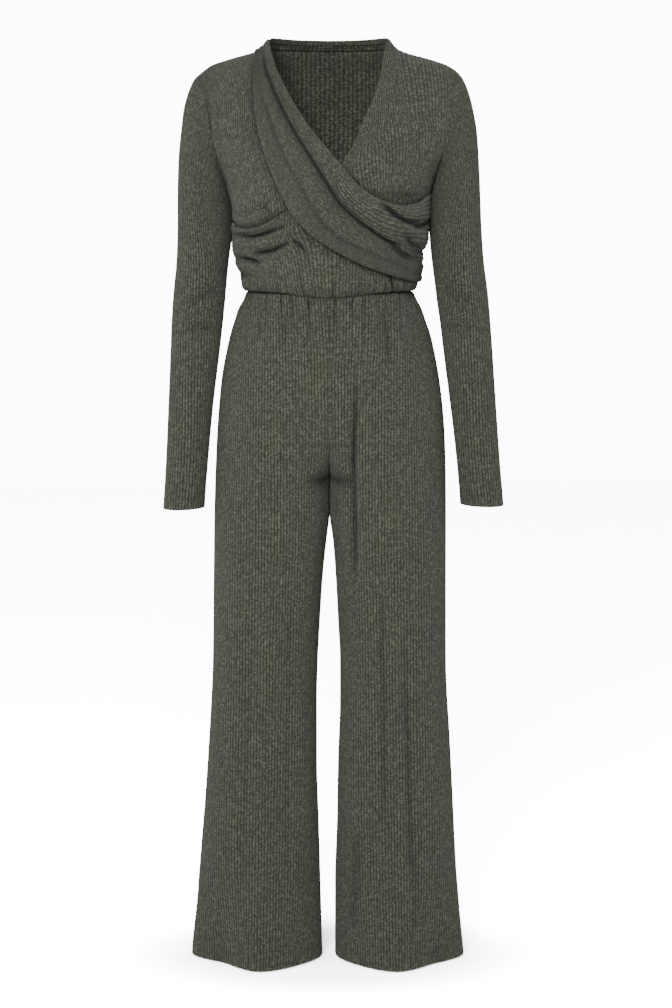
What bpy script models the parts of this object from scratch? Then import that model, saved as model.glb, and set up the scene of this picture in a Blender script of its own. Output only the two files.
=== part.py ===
"""Jumpsuit in rib knit: a crossed, draped bodice, long sleeves and wide straight legs.

Every length is in millimetres until it is handed to Blender. X runs to the viewer's right,
the front faces -Y and Z is up. The origin lies at shoulder height, midway between the
shoulders and between front and back. "right" in a name is the wearer's right, at -X.
An angle of 0 is the centre front, -90 the right side seam, 90 the left one, 180 the back.
"""
import bisect
import math

import bmesh
import bpy

MM = 0.001
OBJECT_NAME = "jumpsuit"

# Walls and gaps
WALL = 1.2
SEAM_ANGLE = 0.17
SHOULDER_SEAM_ANGLE = 0.42
LEG_SEAM_ANGLE = 0.16
HEM_SEAM_ANGLE = 0.34
ARMHOLE_GAP = 0.45
WAIST_GAP = 0.35
LAYER_STEP = 2.8
DRAPE_LIFT = 5.4
DRAPE_SHOULDER_LIFT = 2.5
DRAPE_END_LIFT = 2.6

# Landmarks
NECK_HEIGHT = 39.5
BAND_FOOT = 29.5
BAND_TOP_SIDE = 40.0
BAND_TOP_BACK = 44.0
ARMPIT_HEIGHT = -182.0
WAIST_HEIGHT = -341.0
WAIST_SAG = 8.5
CROTCH_HEIGHT = -628.0
HEM_HEIGHT = -1396.5

# Colours
OLIVE = (0.085, 0.095, 0.062)
OLIVE_DEEP = (0.066, 0.075, 0.050)

# Bust, worked into the cut of both fronts
BUST_REACH = 80.0
BUST_HEIGHT = -188.0
BUST_WIDTH = 42.0
BUST_TALL = 46.0
BUST_OUT = 12.0


class Table:
    """Rows of named columns, read between the rows along a smooth curve that never overshoots."""

    def __init__(self, columns, rows):
        self.columns = columns.split()
        self.rows = sorted(rows)
        self.keys = [row[0] for row in self.rows]

    def slope(self, index, column):
        def rise(low):
            step = self.keys[low + 1] - self.keys[low]
            return (self.rows[low + 1][column] - self.rows[low][column]) / step

        if index == 0:
            return rise(0)
        if index == len(self.keys) - 1:
            return rise(index - 1)
        before, after = rise(index - 1), rise(index)
        if before * after <= 0:
            return 0.0
        return 2 * before * after / (before + after)

    def at(self, key, name):
        column = self.columns.index(name)
        key = min(max(key, self.keys[0]), self.keys[-1])
        low = min(bisect.bisect_right(self.keys, key), len(self.keys) - 1) - 1
        span = self.keys[low + 1] - self.keys[low]
        t = (key - self.keys[low]) / span
        start, end = self.rows[low][column], self.rows[low + 1][column]
        leave, arrive = self.slope(low, column) * span, self.slope(low + 1, column) * span
        return ((2 * t ** 3 - 3 * t ** 2 + 1) * start + (t ** 3 - 2 * t ** 2 + t) * leave
                + (3 * t ** 2 - 2 * t ** 3) * end + (t ** 3 - t ** 2) * arrive)


# The upper body's ring at each height, arms' roots included above the armpit
BODY = Table("height side front back square span", [
    (45, 88, 50, 61, 0.00, 200),
    (37, 93.5, 52, 63, 0.00, 200),
    (30, 99.5, 56, 66, 0.00, 201),
    (24, 107, 58, 68, -0.03, 202),
    (18, 124, 60, 71, -0.06, 203),
    (12, 147, 63, 74, -0.08, 204),
    (6, 167, 66, 77, -0.08, 205),
    (0, 182, 70, 80, -0.07, 206),
    (-30, 206, 83, 91, -0.03, 211),
    (-60, 214, 95, 100, 0.00, 214),
    (-90, 212, 106, 105, 0.01, 212),
    (-120, 196, 116, 107, 0.02, 196),
    (-150, 176, 123, 107, 0.04, 176),
    (-173, 162.5, 126, 104, 0.06, 162.5),
    (-190, 156, 127, 102, 0.06, 156),
    (-215, 150, 124, 99, 0.06, 150),
    (-245, 147, 117, 97, 0.06, 147),
    (-270, 145, 112, 97, 0.06, 145),
    (-300, 140, 110, 97, 0.06, 140),
    (-325, 134.5, 107, 96, 0.06, 134.5),
    (-336, 131.5, 103, 93, 0.06, 131.5),
    (-345, 128.5, 97, 89, 0.06, 128.5),
    (-360, 126, 96, 88, 0.06, 126),
])

# The armhole seam seen from the front
ARMHOLE = Table("height reach", [
    (0, 182), (-22, 184.5), (-45, 185), (-90, 180), (-137, 171), (-170, 161.5),
    (ARMPIT_HEIGHT, 157.5),
])


def smooth(value):
    value = min(max(value, 0.0), 1.0)
    return value * value * (3 - 2 * value)


def mix(start, end, t):
    return start + (end - start) * t


def body(angle, height):
    """Point on the upper body's surface."""
    turn = math.radians(angle)
    depth = BODY.at(height, "front") if math.cos(turn) > 0 else BODY.at(height, "back")
    round_out = 1 + BODY.at(height, "square") * math.sin(2 * turn) ** 2
    x = BODY.at(height, "side") * math.sin(turn) * round_out
    y = -depth * math.cos(turn) * round_out
    if math.cos(turn) > 0:
        for centre in (-BUST_REACH, BUST_REACH):
            across = (x - centre) / BUST_WIDTH
            along = (height - BUST_HEIGHT) / BUST_TALL
            y -= BUST_OUT * math.cos(turn) * math.exp(-(across ** 2 + along ** 2) / 2)
    return (x, y, height)


def seam_gap(height):
    """Half the gap at the side and shoulder seams, as an angle."""
    return mix(SEAM_ANGLE, SHOULDER_SEAM_ANGLE, smooth((height + 30) / 28))


def angle_at(x, height):
    """The angle at which the body's front has the given x, kept off the side seams."""
    low, high = -90.0 + seam_gap(height), 90.0 - seam_gap(height)
    for _ in range(36):
        middle = (low + high) / 2
        if body(middle, height)[0] < x:
            low = middle
        else:
            high = middle
    return (low + high) / 2


def spread(x, height):
    """Turn x into degrees across, 90 at the sides below the arms and less at the shoulders."""
    ratio = x / BODY.at(height, "span")
    return math.degrees(math.asin(min(max(ratio, -1.0), 1.0)))


def edge_reach(height):
    """Half the width, from the front, of the side seam, the armhole and the shoulder seam."""
    if height <= ARMPIT_HEIGHT:
        return BODY.at(height, "span")
    if height >= 0:
        return BODY.at(height, "side")
    return ARMHOLE.at(height, "reach")


def waist_height(angle):
    """The waist seam, which sags at the centre front."""
    if abs(angle) > 90:
        return WAIST_HEIGHT
    return WAIST_HEIGHT - WAIST_SAG * math.exp(-(angle / 30) ** 2)


def cross(a, b):
    return (a[1] * b[2] - a[2] * b[1], a[2] * b[0] - a[0] * b[2], a[0] * b[1] - a[1] * b[0])


def minus(a, b):
    return (a[0] - b[0], a[1] - b[1], a[2] - b[2])


def moved(point, direction, distance):
    return tuple(p + d * distance for p, d in zip(point, direction))


def unit(vector):
    length = math.sqrt(sum(part * part for part in vector))
    return tuple(part / length for part in vector)


def outward(surface, a, b, step_a, step_b, centre):
    """Unit normal of surface(a, b), on the side away from centre."""
    across = minus(surface(a + step_a, b), surface(a - step_a, b))
    along = minus(surface(a, b + step_b), surface(a, b - step_b))
    normal = unit(cross(across, along))
    away = minus(surface(a, b), centre)
    if sum(n * c for n, c in zip(normal, away)) < 0:
        return tuple(-n for n in normal)
    return normal


def body_out(angle, height, distance):
    """Point moved out from the body's surface."""
    centre = (0.0, 0.0, min(height, -40.0))
    return moved(body(angle, height), outward(body, angle, height, 1.0, 1.5, centre), distance)


# Folds, each a run of (x, height) points seen from the front: size is its rise (+) or
# depth (-), width how far it spreads
UNDER_BUST_FOLDS = [
    dict(size=5.0, width=8, run=[(-54, -226), (-78, -243), (-98, -249), (-118, -251), (-140, -246)]),
    dict(size=-6.0, width=5, run=[(-62, -248), (-80, -255), (-98, -261), (-118, -262), (-146, -256)]),
    dict(size=5.2, width=8, run=[(-66, -260), (-92, -270), (-112, -274), (-148, -270)]),
    dict(size=-5.6, width=5, run=[(-64, -272), (-86, -281), (-102, -285), (-122, -291), (-146, -294)]),
    dict(size=3.4, width=8, run=[(-84, -293), (-112, -302), (-142, -307)]),
    dict(size=-3.4, width=6, run=[(-112, -313), (-128, -318), (-142, -321)]),
]
BUST_FOLDS = [
    dict(size=-3.0, width=5, run=[(-99, -212), (-91, -224), (-84, -236)]),
    dict(size=4.0, width=10, run=[(-76, -222), (-106, -232), (-132, -234), (-154, -226)]),
    dict(size=-2.4, width=8, run=[(-168, -136), (-156, -162), (-142, -190)]),
]
LEFT_BUST_FOLDS = [
    dict(size=-2.0, width=9, run=[(168, -136), (158, -158), (150, -180)]),
    dict(size=-2.4, width=7, run=[(74, -188), (98, -197), (122, -198), (140, -192)]),
]
DRAPE_FOLDS = [
    dict(size=-5.0, width=5, run=[(70, -211), (90, -227), (108, -236), (122, -234), (138, -242)]),
    dict(size=-3.6, width=5, run=[(104, -249), (121, -264), (134, -276), (146, -280)]),
    dict(size=-3.4, width=6, run=[(84, -268), (102, -284), (122, -294)]),
    dict(size=3.0, width=7, run=[(92, -219), (112, -224), (140, -226)]),
    dict(size=3.0, width=7, run=[(96, -240), (116, -250), (142, -258)]),
]


def distance_to_run(x, height, run):
    """Distance to a run of points, and how far along it, from 0 to 1, the nearest place is."""
    best, place = 1e9, 0.0
    for index in range(len(run) - 1):
        (x0, z0), (x1, z1) = run[index], run[index + 1]
        dx, dz = x1 - x0, z1 - z0
        t = ((x - x0) * dx + (height - z0) * dz) / (dx * dx + dz * dz)
        t = min(max(t, 0.0), 1.0)
        gap = math.hypot(x - x0 - dx * t, height - z0 - dz * t)
        if gap < best:
            best, place = gap, (index + t) / (len(run) - 1)
    return best, place


def folds_at(x, height, folds):
    """Sum of the folds' rise at a place, each fading out at its two ends."""
    total = 0.0
    for fold in folds:
        gap, place = distance_to_run(x, height, fold["run"])
        if gap < 3 * fold["width"]:
            fade = 0.35 + 0.65 * smooth(min(place, 1 - place) / 0.3)
            total += fold["size"] * fade * math.exp(-(gap / fold["width"]) ** 2)
    return total


def patch(bottom, top, left, right):
    """Surface in x and height between four edges, each a function to (x, height), that meet
    at their corners. Across, it is spaced by angle, so it stays fine round the sides."""
    def ruled(u, v):
        (x0, z0), (x1, z1) = bottom(u), top(u)
        height = mix(z0, z1, v)
        across = math.radians(mix(spread(x0, z0), spread(x1, z1), v))
        return BODY.at(height, "span") * math.sin(across), height

    def at(u, v):
        x, height = ruled(u, v)
        for share, edge, end in ((1 - u, left, 0.0), (u, right, 1.0)):
            true_x, true_z = edge(v)
            flat_x, flat_z = ruled(end, v)
            x += share * (true_x - flat_x)
            height += share * (true_z - flat_z)
        return angle_at(x, height), height

    return at


def link(mesh, name, colour):
    """Make an object of a finished mesh, with its own cloth material."""
    data = bpy.data.meshes.new(name)
    mesh.to_mesh(data)
    mesh.free()
    data.shade_smooth()
    material = bpy.data.materials.new(name + "_cloth")
    material.use_nodes = True
    shader = material.node_tree.nodes["Principled BSDF"]
    shader.inputs["Base Color"].default_value = (*colour, 1.0)
    shader.inputs["Roughness"].default_value = 0.92
    shader.inputs["Metallic"].default_value = 0.0
    data.materials.append(material)
    item = bpy.data.objects.new(name, data)
    bpy.data.collections[OBJECT_NAME].objects.link(item)
    return item


def cloth(name, columns, rows, surface, axis_x=0.0, colour=OLIVE, wall=WALL, tube=False):
    """A panel: a flat grid laid on surface(u, v), its outer face, and thickened towards the
    upright line at axis_x, which it goes round."""
    mesh = bmesh.new()
    bmesh.ops.create_grid(mesh, x_segments=len(columns) - 1, y_segments=len(rows) - 1, size=0.5)
    for vert in mesh.verts:
        u = columns[round((vert.co.x + 0.5) * (len(columns) - 1))]
        v = rows[round((vert.co.y + 0.5) * (len(rows) - 1))]
        vert.co = [part * MM for part in surface(u, v)]
    if tube:
        bmesh.ops.remove_doubles(mesh, verts=mesh.verts, dist=0.01 * MM)
    mesh.normal_update()
    outwards = 0.0
    for face in mesh.faces:
        centre = face.calc_center_median()
        outwards += face.normal.x * (centre.x - axis_x * MM) + face.normal.y * centre.y
    if outwards < 0:
        bmesh.ops.reverse_faces(mesh, faces=mesh.faces[:])
    item = link(mesh, name, colour)
    shell = item.modifiers.new("wall", "SOLIDIFY")
    shell.thickness = wall * MM
    shell.offset = -1.0
    return item


def steps(count, start=0.0, end=1.0):
    return [mix(start, end, index / count) for index in range(count + 1)]


# Bodice

def side_edge(sign, low):
    """Side seam and armhole as one edge, from height low up to the shoulder point."""
    def edge(v):
        height = mix(low, 0.0, v)
        return (sign * edge_reach(height), height)

    return edge


def shoulder(sign, height):
    return (sign * edge_reach(height), height)


def waist_edge(u):
    across = mix(-90, 90, u)
    height = waist_height(across)
    return (BODY.at(height, "span") * math.sin(math.radians(across)), height)


BACK_TOP = Table("u x height", [
    (0.00, -182, 0), (0.07, -158, 9), (0.14, -130, 17), (0.20, -111, 24),
    (0.25, -101, BAND_FOOT), (0.30, -96, BAND_FOOT), (0.35, -81.7, BAND_FOOT),
    (0.40, -59.4, BAND_FOOT), (0.45, -31.2, BAND_FOOT), (0.5, 0, BAND_FOOT),
    (0.55, 31.2, BAND_FOOT), (0.60, 59.4, BAND_FOOT), (0.65, 81.7, BAND_FOOT),
    (0.70, 96, BAND_FOOT), (0.75, 101, BAND_FOOT), (0.80, 111, 24), (0.86, 130, 17),
    (0.93, 158, 9), (1.00, 182, 0),
])
NECK_FOOT = (0.25, 0.75)


def back_top(u):
    height = BACK_TOP.at(u, "height")
    if not NECK_FOOT[0] < u < NECK_FOOT[1]:
        return shoulder(1 if u > 0.5 else -1, height)
    return (BACK_TOP.at(u, "x"), height)


def back_bottom(u):
    return (edge_reach(WAIST_HEIGHT) * math.sin(math.radians(mix(-90, 90, u))), WAIST_HEIGHT)


BACK_PATCH = patch(back_bottom, back_top, side_edge(-1, WAIST_HEIGHT),
                   side_edge(1, WAIST_HEIGHT))


def blouson(angle, height):
    """The bodice rolls out a little just above the waist seam."""
    above = height - waist_height(angle if angle <= 90 else 180)
    return 2.6 * smooth(above / 9) * (1 - smooth((above - 12) / 26))


def back_surface(u, v):
    angle, height = BACK_PATCH(u, v)
    angle = 180 - angle
    return body_out(angle, height, blouson(angle, height))


def band_surface(u, v):
    """The neckband rises from the back neck edge and shares its points."""
    foot = mix(NECK_FOOT[0], NECK_FOOT[1], u)
    angle = 180 - angle_at(BACK_TOP.at(foot, "x"), BAND_FOOT)
    if u in (0, 1):
        angle = 180 - (90 - seam_gap(BAND_FOOT)) * (1 if u else -1)
    top = mix(BAND_TOP_SIDE, BAND_TOP_BACK, math.sin(math.radians(angle - 90)) ** 2)
    return body_out(angle, mix(BAND_FOOT + 0.6, top, v), 0.2)


# Left front: waist, and a top edge that runs from the right side seam under the bust, under
# the drape, up the V to the neck and along the shoulder
LEFT_TOP = Table("u x height", [
    (0.00, -148, -238), (0.08, -136, -244), (0.17, -119, -246), (0.25, -103, -243),
    (0.33, -84, -233), (0.41, -58, -217), (0.46, -32, -196), (0.50, -10, -176),
    (0.53, 17, -152), (0.57, 39, -116), (0.61, 53, -83), (0.65, 67, -50), (0.69, 76, -21),
    (0.73, 80.5, 5), (0.76, 84.5, 24), (0.78, 88.0, 35), (0.80, 91.8, NECK_HEIGHT), (0.86, 118, 20.6),
    (0.93, 152, 10.4), (1.00, 182, 0),
])
NECK_U = 0.80


def left_top(u):
    height = LEFT_TOP.at(u, "height")
    if u >= NECK_U:
        return shoulder(1, height)
    if u <= 0:
        return shoulder(-1, height)
    return (LEFT_TOP.at(u, "x"), height)


LEFT_PATCH = patch(
    waist_edge,
    left_top,
    lambda v: shoulder(-1, mix(WAIST_HEIGHT, LEFT_TOP.at(0, "height"), v)),
    side_edge(1, WAIST_HEIGHT),
)
UNDER_EDGE = Table("x height", [(row[1], row[2]) for row in LEFT_TOP.rows if row[1] <= 17])


def under_edge(x):
    """Height of the left front's edge where it crosses the right side."""
    return UNDER_EDGE.at(x, "height")


# Right bust panel: an edge under the drape against side seam, armhole and shoulder. It ends
# just below the edge of the left front, which lies over it
TUCKED = 8.0
RIGHT_INNER = Table("height x", [
    (NECK_HEIGHT, -91.8), (34, -93), (24, -95), (8, -96), (-11, -93), (-50, -81), (-90, -62),
    (-130, -42), (-170, -24), (-200, -14),
])
RIGHT_SIDE_LOW = LEFT_TOP.at(0, "height") - TUCKED
RIGHT_INNER_LOW = under_edge(RIGHT_INNER.at(-184, "x")) - TUCKED


def right_inner(v):
    height = mix(RIGHT_INNER_LOW, NECK_HEIGHT, v)
    if v >= 1:
        return shoulder(-1, NECK_HEIGHT)
    return (RIGHT_INNER.at(height, "x"), height)


def right_bottom(u):
    start = RIGHT_INNER.at(RIGHT_INNER_LOW, "x")
    across = mix(spread(start, RIGHT_INNER_LOW), -90.0, u)
    x = edge_reach(RIGHT_SIDE_LOW) * math.sin(math.radians(across))
    if u in (0, 1):
        return (x, RIGHT_SIDE_LOW) if u else (start, RIGHT_INNER_LOW)
    return (x, under_edge(x) - TUCKED)


RIGHT_PATCH = patch(
    right_bottom,
    lambda u: shoulder(-1, mix(NECK_HEIGHT, 0.0, u)),
    right_inner,
    side_edge(-1, RIGHT_SIDE_LOW),
)


def right_bust_surface(u, v):
    angle, height = RIGHT_PATCH(u, v)
    x = body(angle, height)[0]
    clear = smooth((height - under_edge(x) - 2) / 10)
    return body_out(angle, height, clear * folds_at(x, height, BUST_FOLDS))


def left_layer(x, height):
    """The left front lies on the right bust panel wherever both are there."""
    return LAYER_STEP * (1 - smooth((x + 4) / 26)) * smooth((height + 292) / 22)


def left_front_rise(angle, x, height):
    layer = left_layer(x, height)
    rise = layer + blouson(angle, height)
    rise += folds_at(x, height, UNDER_BUST_FOLDS) + folds_at(x, height, LEFT_BUST_FOLDS)
    covers = smooth((height - under_edge(x) + TUCKED + 5) / 4) if x < 17 else 0.0
    return mix(rise, max(rise, layer - 0.2), covers)


def left_front_surface(u, v):
    angle, height = LEFT_PATCH(u, v)
    x = body(angle, height)[0]
    return body_out(angle, height, left_front_rise(angle, x, height))


# Drape: four lines that cross the body from the right shoulder seam to the left side seam.
# top is the V edge, roll the groove behind its rolled edge, trough a soft fold, edge the hem
DRAPE = Table("t top_x top_z roll_x roll_z trough_x trough_z edge_x edge_z", [
    (0.00, -91.8, 39.2, -101, 29.2, -106.5, 25.0, -112, 22.2),
    (0.09, -81, -2, -95.5, -8, -104, -16, -112.5, -22),
    (0.18, -67, -35, -82, -44, -97, -53, -110, -62),
    (0.27, -51, -65, -67, -76, -85, -88, -105, -101),
    (0.36, -30, -98, -47, -113, -71, -128, -93, -141),
    (0.45, -6, -128, -27, -145, -53, -165, -78, -179),
    (0.54, 20, -157, -5, -179, -31, -202, -58, -219),
    (0.63, 48, -188, 16, -210, -8, -236, -31, -252),
    (0.72, 78, -204, 42, -233, 20, -260, 5, -278),
    (0.80, 105, -211, 67, -255, 52, -279, 43, -298),
    (0.87, 126, -208, 89, -275, 86, -296, 82, -313),
    (0.94, 144, -199, 114, -290, 114, -307, 112, -322),
    (1.00, 155.5, -193, 140.5, -297, 136.5, -312, 133.5, -326),
])
DRAPE_PROFILE = Table("s rise", [
    (0.00, -0.2), (0.04, 4.4), (0.12, 7.6), (0.20, 5.6), (0.27, 0.6), (0.30, -0.3),
    (0.335, 2.6), (0.42, 6.4), (0.52, 4.8), (0.60, 2.2), (0.67, 4.2), (0.80, 6.2),
    (0.91, 5.0), (0.97, 2.0), (1.00, -0.3),
])
DRAPE_LINES = ((0.0, "top"), (0.30, "roll"), (0.60, "trough"), (1.0, "edge"))


def drape_place(s, t):
    """(angle, height) at s across the drape and t along it."""
    for (s0, first), (s1, second) in zip(DRAPE_LINES, DRAPE_LINES[1:]):
        if s <= s1:
            break
    part = (s - s0) / (s1 - s0)
    x = mix(DRAPE.at(t, first + "_x"), DRAPE.at(t, second + "_x"), part)
    height = mix(DRAPE.at(t, first + "_z"), DRAPE.at(t, second + "_z"), part)
    if t <= 0 or t >= 1:
        return ((90 - seam_gap(height)) * (1 if t >= 1 else -1), height)
    return (angle_at(x, height), height)


def drape_surface(t, s):
    angle, height = drape_place(s, t)
    x = body(angle, height)[0]
    strength = mix(0.12, 1.0, smooth(t / 0.25)) * mix(1.0, 0.35, smooth((t - 0.84) / 0.16))
    lift = mix(DRAPE_SHOULDER_LIFT, DRAPE_LIFT, smooth(t / 0.2))
    lift = mix(lift, DRAPE_END_LIFT, smooth((t - 0.86) / 0.12))
    under = blouson(angle, height) + max(folds_at(x, height, UNDER_BUST_FOLDS), 0.0)
    inside = smooth(s / 0.08) * smooth((1 - s) / 0.08)
    own = strength * DRAPE_PROFILE.at(s, "rise") + inside * folds_at(x, height, DRAPE_FOLDS)
    return body_out(angle, height, lift + under + max(own, -0.3))


# Sleeves: rings from the armhole to the cuff. Each has a point on the arm's outer line and
# one on its inner line; right and left differ slightly
SLEEVE = Table("v out_z out_right out_left in_z in_right in_left front back shift", [
    (0.00, 0, 182, 182, -182, 157.5, 157.5, 53, 54, 0),
    (0.05, -8, 193, 194, -190, 157.4, 159.2, 54, 55, 0),
    (0.10, -20, 206, 204, -199, 155.4, 158.5, 55, 56, -1),
    (0.15, -40, 215.5, 212.5, -208, 153.3, 157.2, 56, 56, -1),
    (0.20, -66, 222.5, 219.5, -219, 151.4, 155.8, 56, 56, -2),
    (0.26, -100, 227, 225.5, -232, 150.5, 154.4, 55, 55, -2),
    (0.32, -140, 231, 228.5, -248, 150.9, 153.8, 54, 54, -3),
    (0.38, -190, 232.7, 231, -268, 152.1, 153.8, 53, 53, -4),
    (0.44, -242, 233.2, 233.2, -292, 154.5, 157.1, 51, 52, -5),
    (0.50, -294, 235.2, 237.2, -320, 157.4, 160.7, 50, 50, -6),
    (0.56, -343, 240.2, 243.7, -352, 160.4, 165.0, 48, 48, -8),
    (0.62, -390, 243.4, 248.1, -392, 164.4, 170.4, 46, 46, -11),
    (0.68, -440, 245.4, 251.7, -440, 169.9, 176.3, 44, 44, -15),
    (0.76, -500, 247.9, 255.6, -500, 177.4, 183.8, 42, 41, -20),
    (0.84, -560, 250.5, 259.6, -560, 183.5, 191.0, 39, 39, -25),
    (0.92, -620, 253.3, 263.8, -620, 188.6, 197.3, 37, 37, -30),
    (0.97, -657, 255.7, 267.2, -655, 191.5, 200.4, 36.5, 36, -33),
    (1.00, -679, 257.3, 268.9, -677, 192.7, 201.8, 36.5, 36, -35),
])
CUFF_RISE = {"right": 5.0, "left": 10.0}
SLEEVE_AXIS = 205.0
SLEEVE_FOLDS = [
    dict(size=-1.8, width=9, run=[(170, -330), (196, -352), (222, -356)]),
    dict(size=1.5, width=10, run=[(168, -352), (196, -376), (226, -380)]),
    dict(size=-1.4, width=9, run=[(174, -388), (198, -402), (222, -400)]),
    dict(size=-1.8, width=9, run=[(186, -150), (190, -200), (188, -262)]),
    dict(size=1.2, width=12, run=[(206, -110), (212, -220), (214, -330)]),
    dict(size=-1.2, width=10, run=[(222, -420), (232, -520), (238, -600)]),
]


def armhole_ring(turn):
    """Point on the left armhole at a turn of 0 at the shoulder, 90 at the front, 180 below."""
    height = ARMPIT_HEIGHT / 2 * (1 - math.cos(math.radians(turn)))
    if turn in (0, 180):
        return body(90, height)
    angle = angle_at(ARMHOLE.at(height, "reach"), height)
    return body(angle if turn < 180 else 180 - angle, height)


def sleeve_ring(turn, v, wearer_side):
    out_x, in_x = SLEEVE.at(v, "out_" + wearer_side), SLEEVE.at(v, "in_" + wearer_side)
    out_z, in_z = SLEEVE.at(v, "out_z"), SLEEVE.at(v, "in_z")
    cosine, sine = math.cos(math.radians(turn)), math.sin(math.radians(turn))
    rise = CUFF_RISE[wearer_side] * smooth((v - 0.6) / 0.4)
    depth = SLEEVE.at(v, "front") if sine > 0 else SLEEVE.at(v, "back")
    return ((out_x + in_x) / 2 + (out_x - in_x) / 2 * cosine,
            SLEEVE.at(v, "shift") - depth * sine,
            rise + (out_z + in_z) / 2 + (out_z - in_z) / 2 * cosine)


def sleeve_base(turn, v, wearer_side):
    """Sleeve rings, eased so that the first one is the armhole itself."""
    turn = turn % 360
    point = sleeve_ring(turn, v, wearer_side)
    ease = 1 - smooth(v / 0.2)
    if ease > 0:
        change = minus(armhole_ring(turn), sleeve_ring(turn, 0.0, wearer_side))
        point = moved(point, change, ease)
    return moved(point, (1, 0, 0), ARMHOLE_GAP * ease)


def sleeve_surface(wearer_side):
    sign = -1 if wearer_side == "right" else 1

    def surface(u, v):
        turn = 180 + 360 * u
        base = sleeve_base(turn, v, wearer_side)
        if 0 < v:
            def plain(a, b):
                return sleeve_base(a, min(b, 1.0), wearer_side)

            middle = tuple(mix(p, q, 0.5) for p, q in zip(plain(0, v), plain(180, v)))
            normal = outward(plain, turn, v, 4.0, 0.01, middle)
            hidden = 1.0 if math.sin(math.radians(turn)) > 0 else 0.6
            base = moved(base, normal, hidden * folds_at(base[0], base[2], SLEEVE_FOLDS))
        return (sign * base[0], base[1], base[2])

    return surface


# Trousers: rings from the waist to the hem; join is 1 where both legs share the hips and 0
# where they are apart
TROUSERS = Table("height out_right out_left front back join square", [
    (-341, 127.4, 127.4, 95, 87, 1, 0.04),
    (-352, 131.6, 133.9, 97, 90, 1, 0.04),
    (-367, 140, 141.1, 99, 94, 1, 0.04),
    (-385, 146.6, 148.3, 101, 98, 1, 0.04),
    (-405, 152.8, 155.3, 103, 102, 1, 0.04),
    (-430, 158.8, 161.5, 104, 107, 1, 0.04),
    (-472, 166.8, 169.5, 105, 113, 1, 0.04),
    (-522, 172, 176, 104, 116, 0.97, 0.04),
    (-560, 174.8, 178.9, 103, 116, 0.9, 0.04),
    (-590, 176.4, 180.3, 102, 115, 0.72, 0.04),
    (-610, 177.3, 180.9, 101, 113, 0.45, 0.04),
    (-622, 177.8, 181.1, 101, 112, 0.18, 0.04),
    (CROTCH_HEIGHT - 4, 178.2, 180, 100, 111, 0, 0.04),
    (-690, 180, 181.9, 98, 105, 0, 0.04),
    (-761, 181.3, 182.2, 96, 100, 0, 0.04),
    (-920, 184, 183.2, 91, 92, 0, 0.04),
    (-1049, 191.2, 190.4, 86, 89, 0, 0.04),
    (-1146, 198.3, 195.8, 85, 88, 0, 0.04),
    (-1245, 207, 201.2, 84, 87, 0, 0),
    (-1310, 212.4, 206.5, 84, 86, 0, -0.04),
    (-1377, 219.8, 212.9, 88, 88, 0, -0.08),
    (HEM_HEIGHT, 221.2, 214.8, 90, 89, 0, -0.08),
])
INSEAM = Table("height right left", [
    (-341, 0.5, 0.5), (-690, 0.6, 0.6), (-700, 2.6, 2.3), (-729, 4.8, 5.3), (-792, 11.2, 10),
    (-856, 15.2, 13.2), (-920, 18.6, 16.3), (-984, 20.2, 16.3), (-1081, 20.2, 13.2),
    (-1179, 17.4, 11.6), (-1277, 14.8, 8.4), (HEM_HEIGHT, 11.8, 8.4),
])
LEG_AXIS = 95.0
HIP_SQUARE = 0.05
FORK_SPAN = 75
HIP_END = -400
THIGH_END = -720
HEM_FLAT = {"right": 0.36, "left": 0.27}
HEM_FLAT_TOP = -1200
TROUSER_FOLDS = [
    dict(size=-1.8, width=6, run=[(51, -415), (52, -470), (50, -530)]),
    dict(size=-2.4, width=7, run=[(38, -500), (36, -600), (38, -720), (40, -800)]),
    dict(size=-1.8, width=8, run=[(78, -740), (80, -900), (84, -1060), (86, -1200)]),
    dict(size=1.6, width=10, run=[(96, -700), (100, -860), (106, -1020), (112, -1240)]),
    dict(size=-1.8, width=8, run=[(114, -860), (120, -1020), (126, -1180), (130, -1330)]),
    dict(size=1.8, width=9, run=[(60, -352), (66, -400), (70, -460)]),
    dict(size=-2.0, width=8, run=[(80, -350), (86, -400), (92, -450)]),
    dict(size=1.8, width=8, run=[(96, -350), (104, -400), (112, -450)]),
    dict(size=-1.6, width=7, run=[(-30, -350), (-31, -390), (-33, -420)]),
    dict(size=-1.6, width=7, run=[(-62, -348), (-66, -390), (-70, -430)]),
    dict(size=-1.6, width=7, run=[(-96, -346), (-106, -390), (-112, -420)]),
    dict(size=-2.0, width=10, run=[(-60, -700), (-62, -900), (-66, -1120), (-70, -1300)]),
    dict(size=-1.6, width=10, run=[(-120, -820), (-128, -1040), (-140, -1300)]),
    dict(size=1.6, width=12, run=[(-92, -700), (-98, -940), (-104, -1260)]),
]


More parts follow.
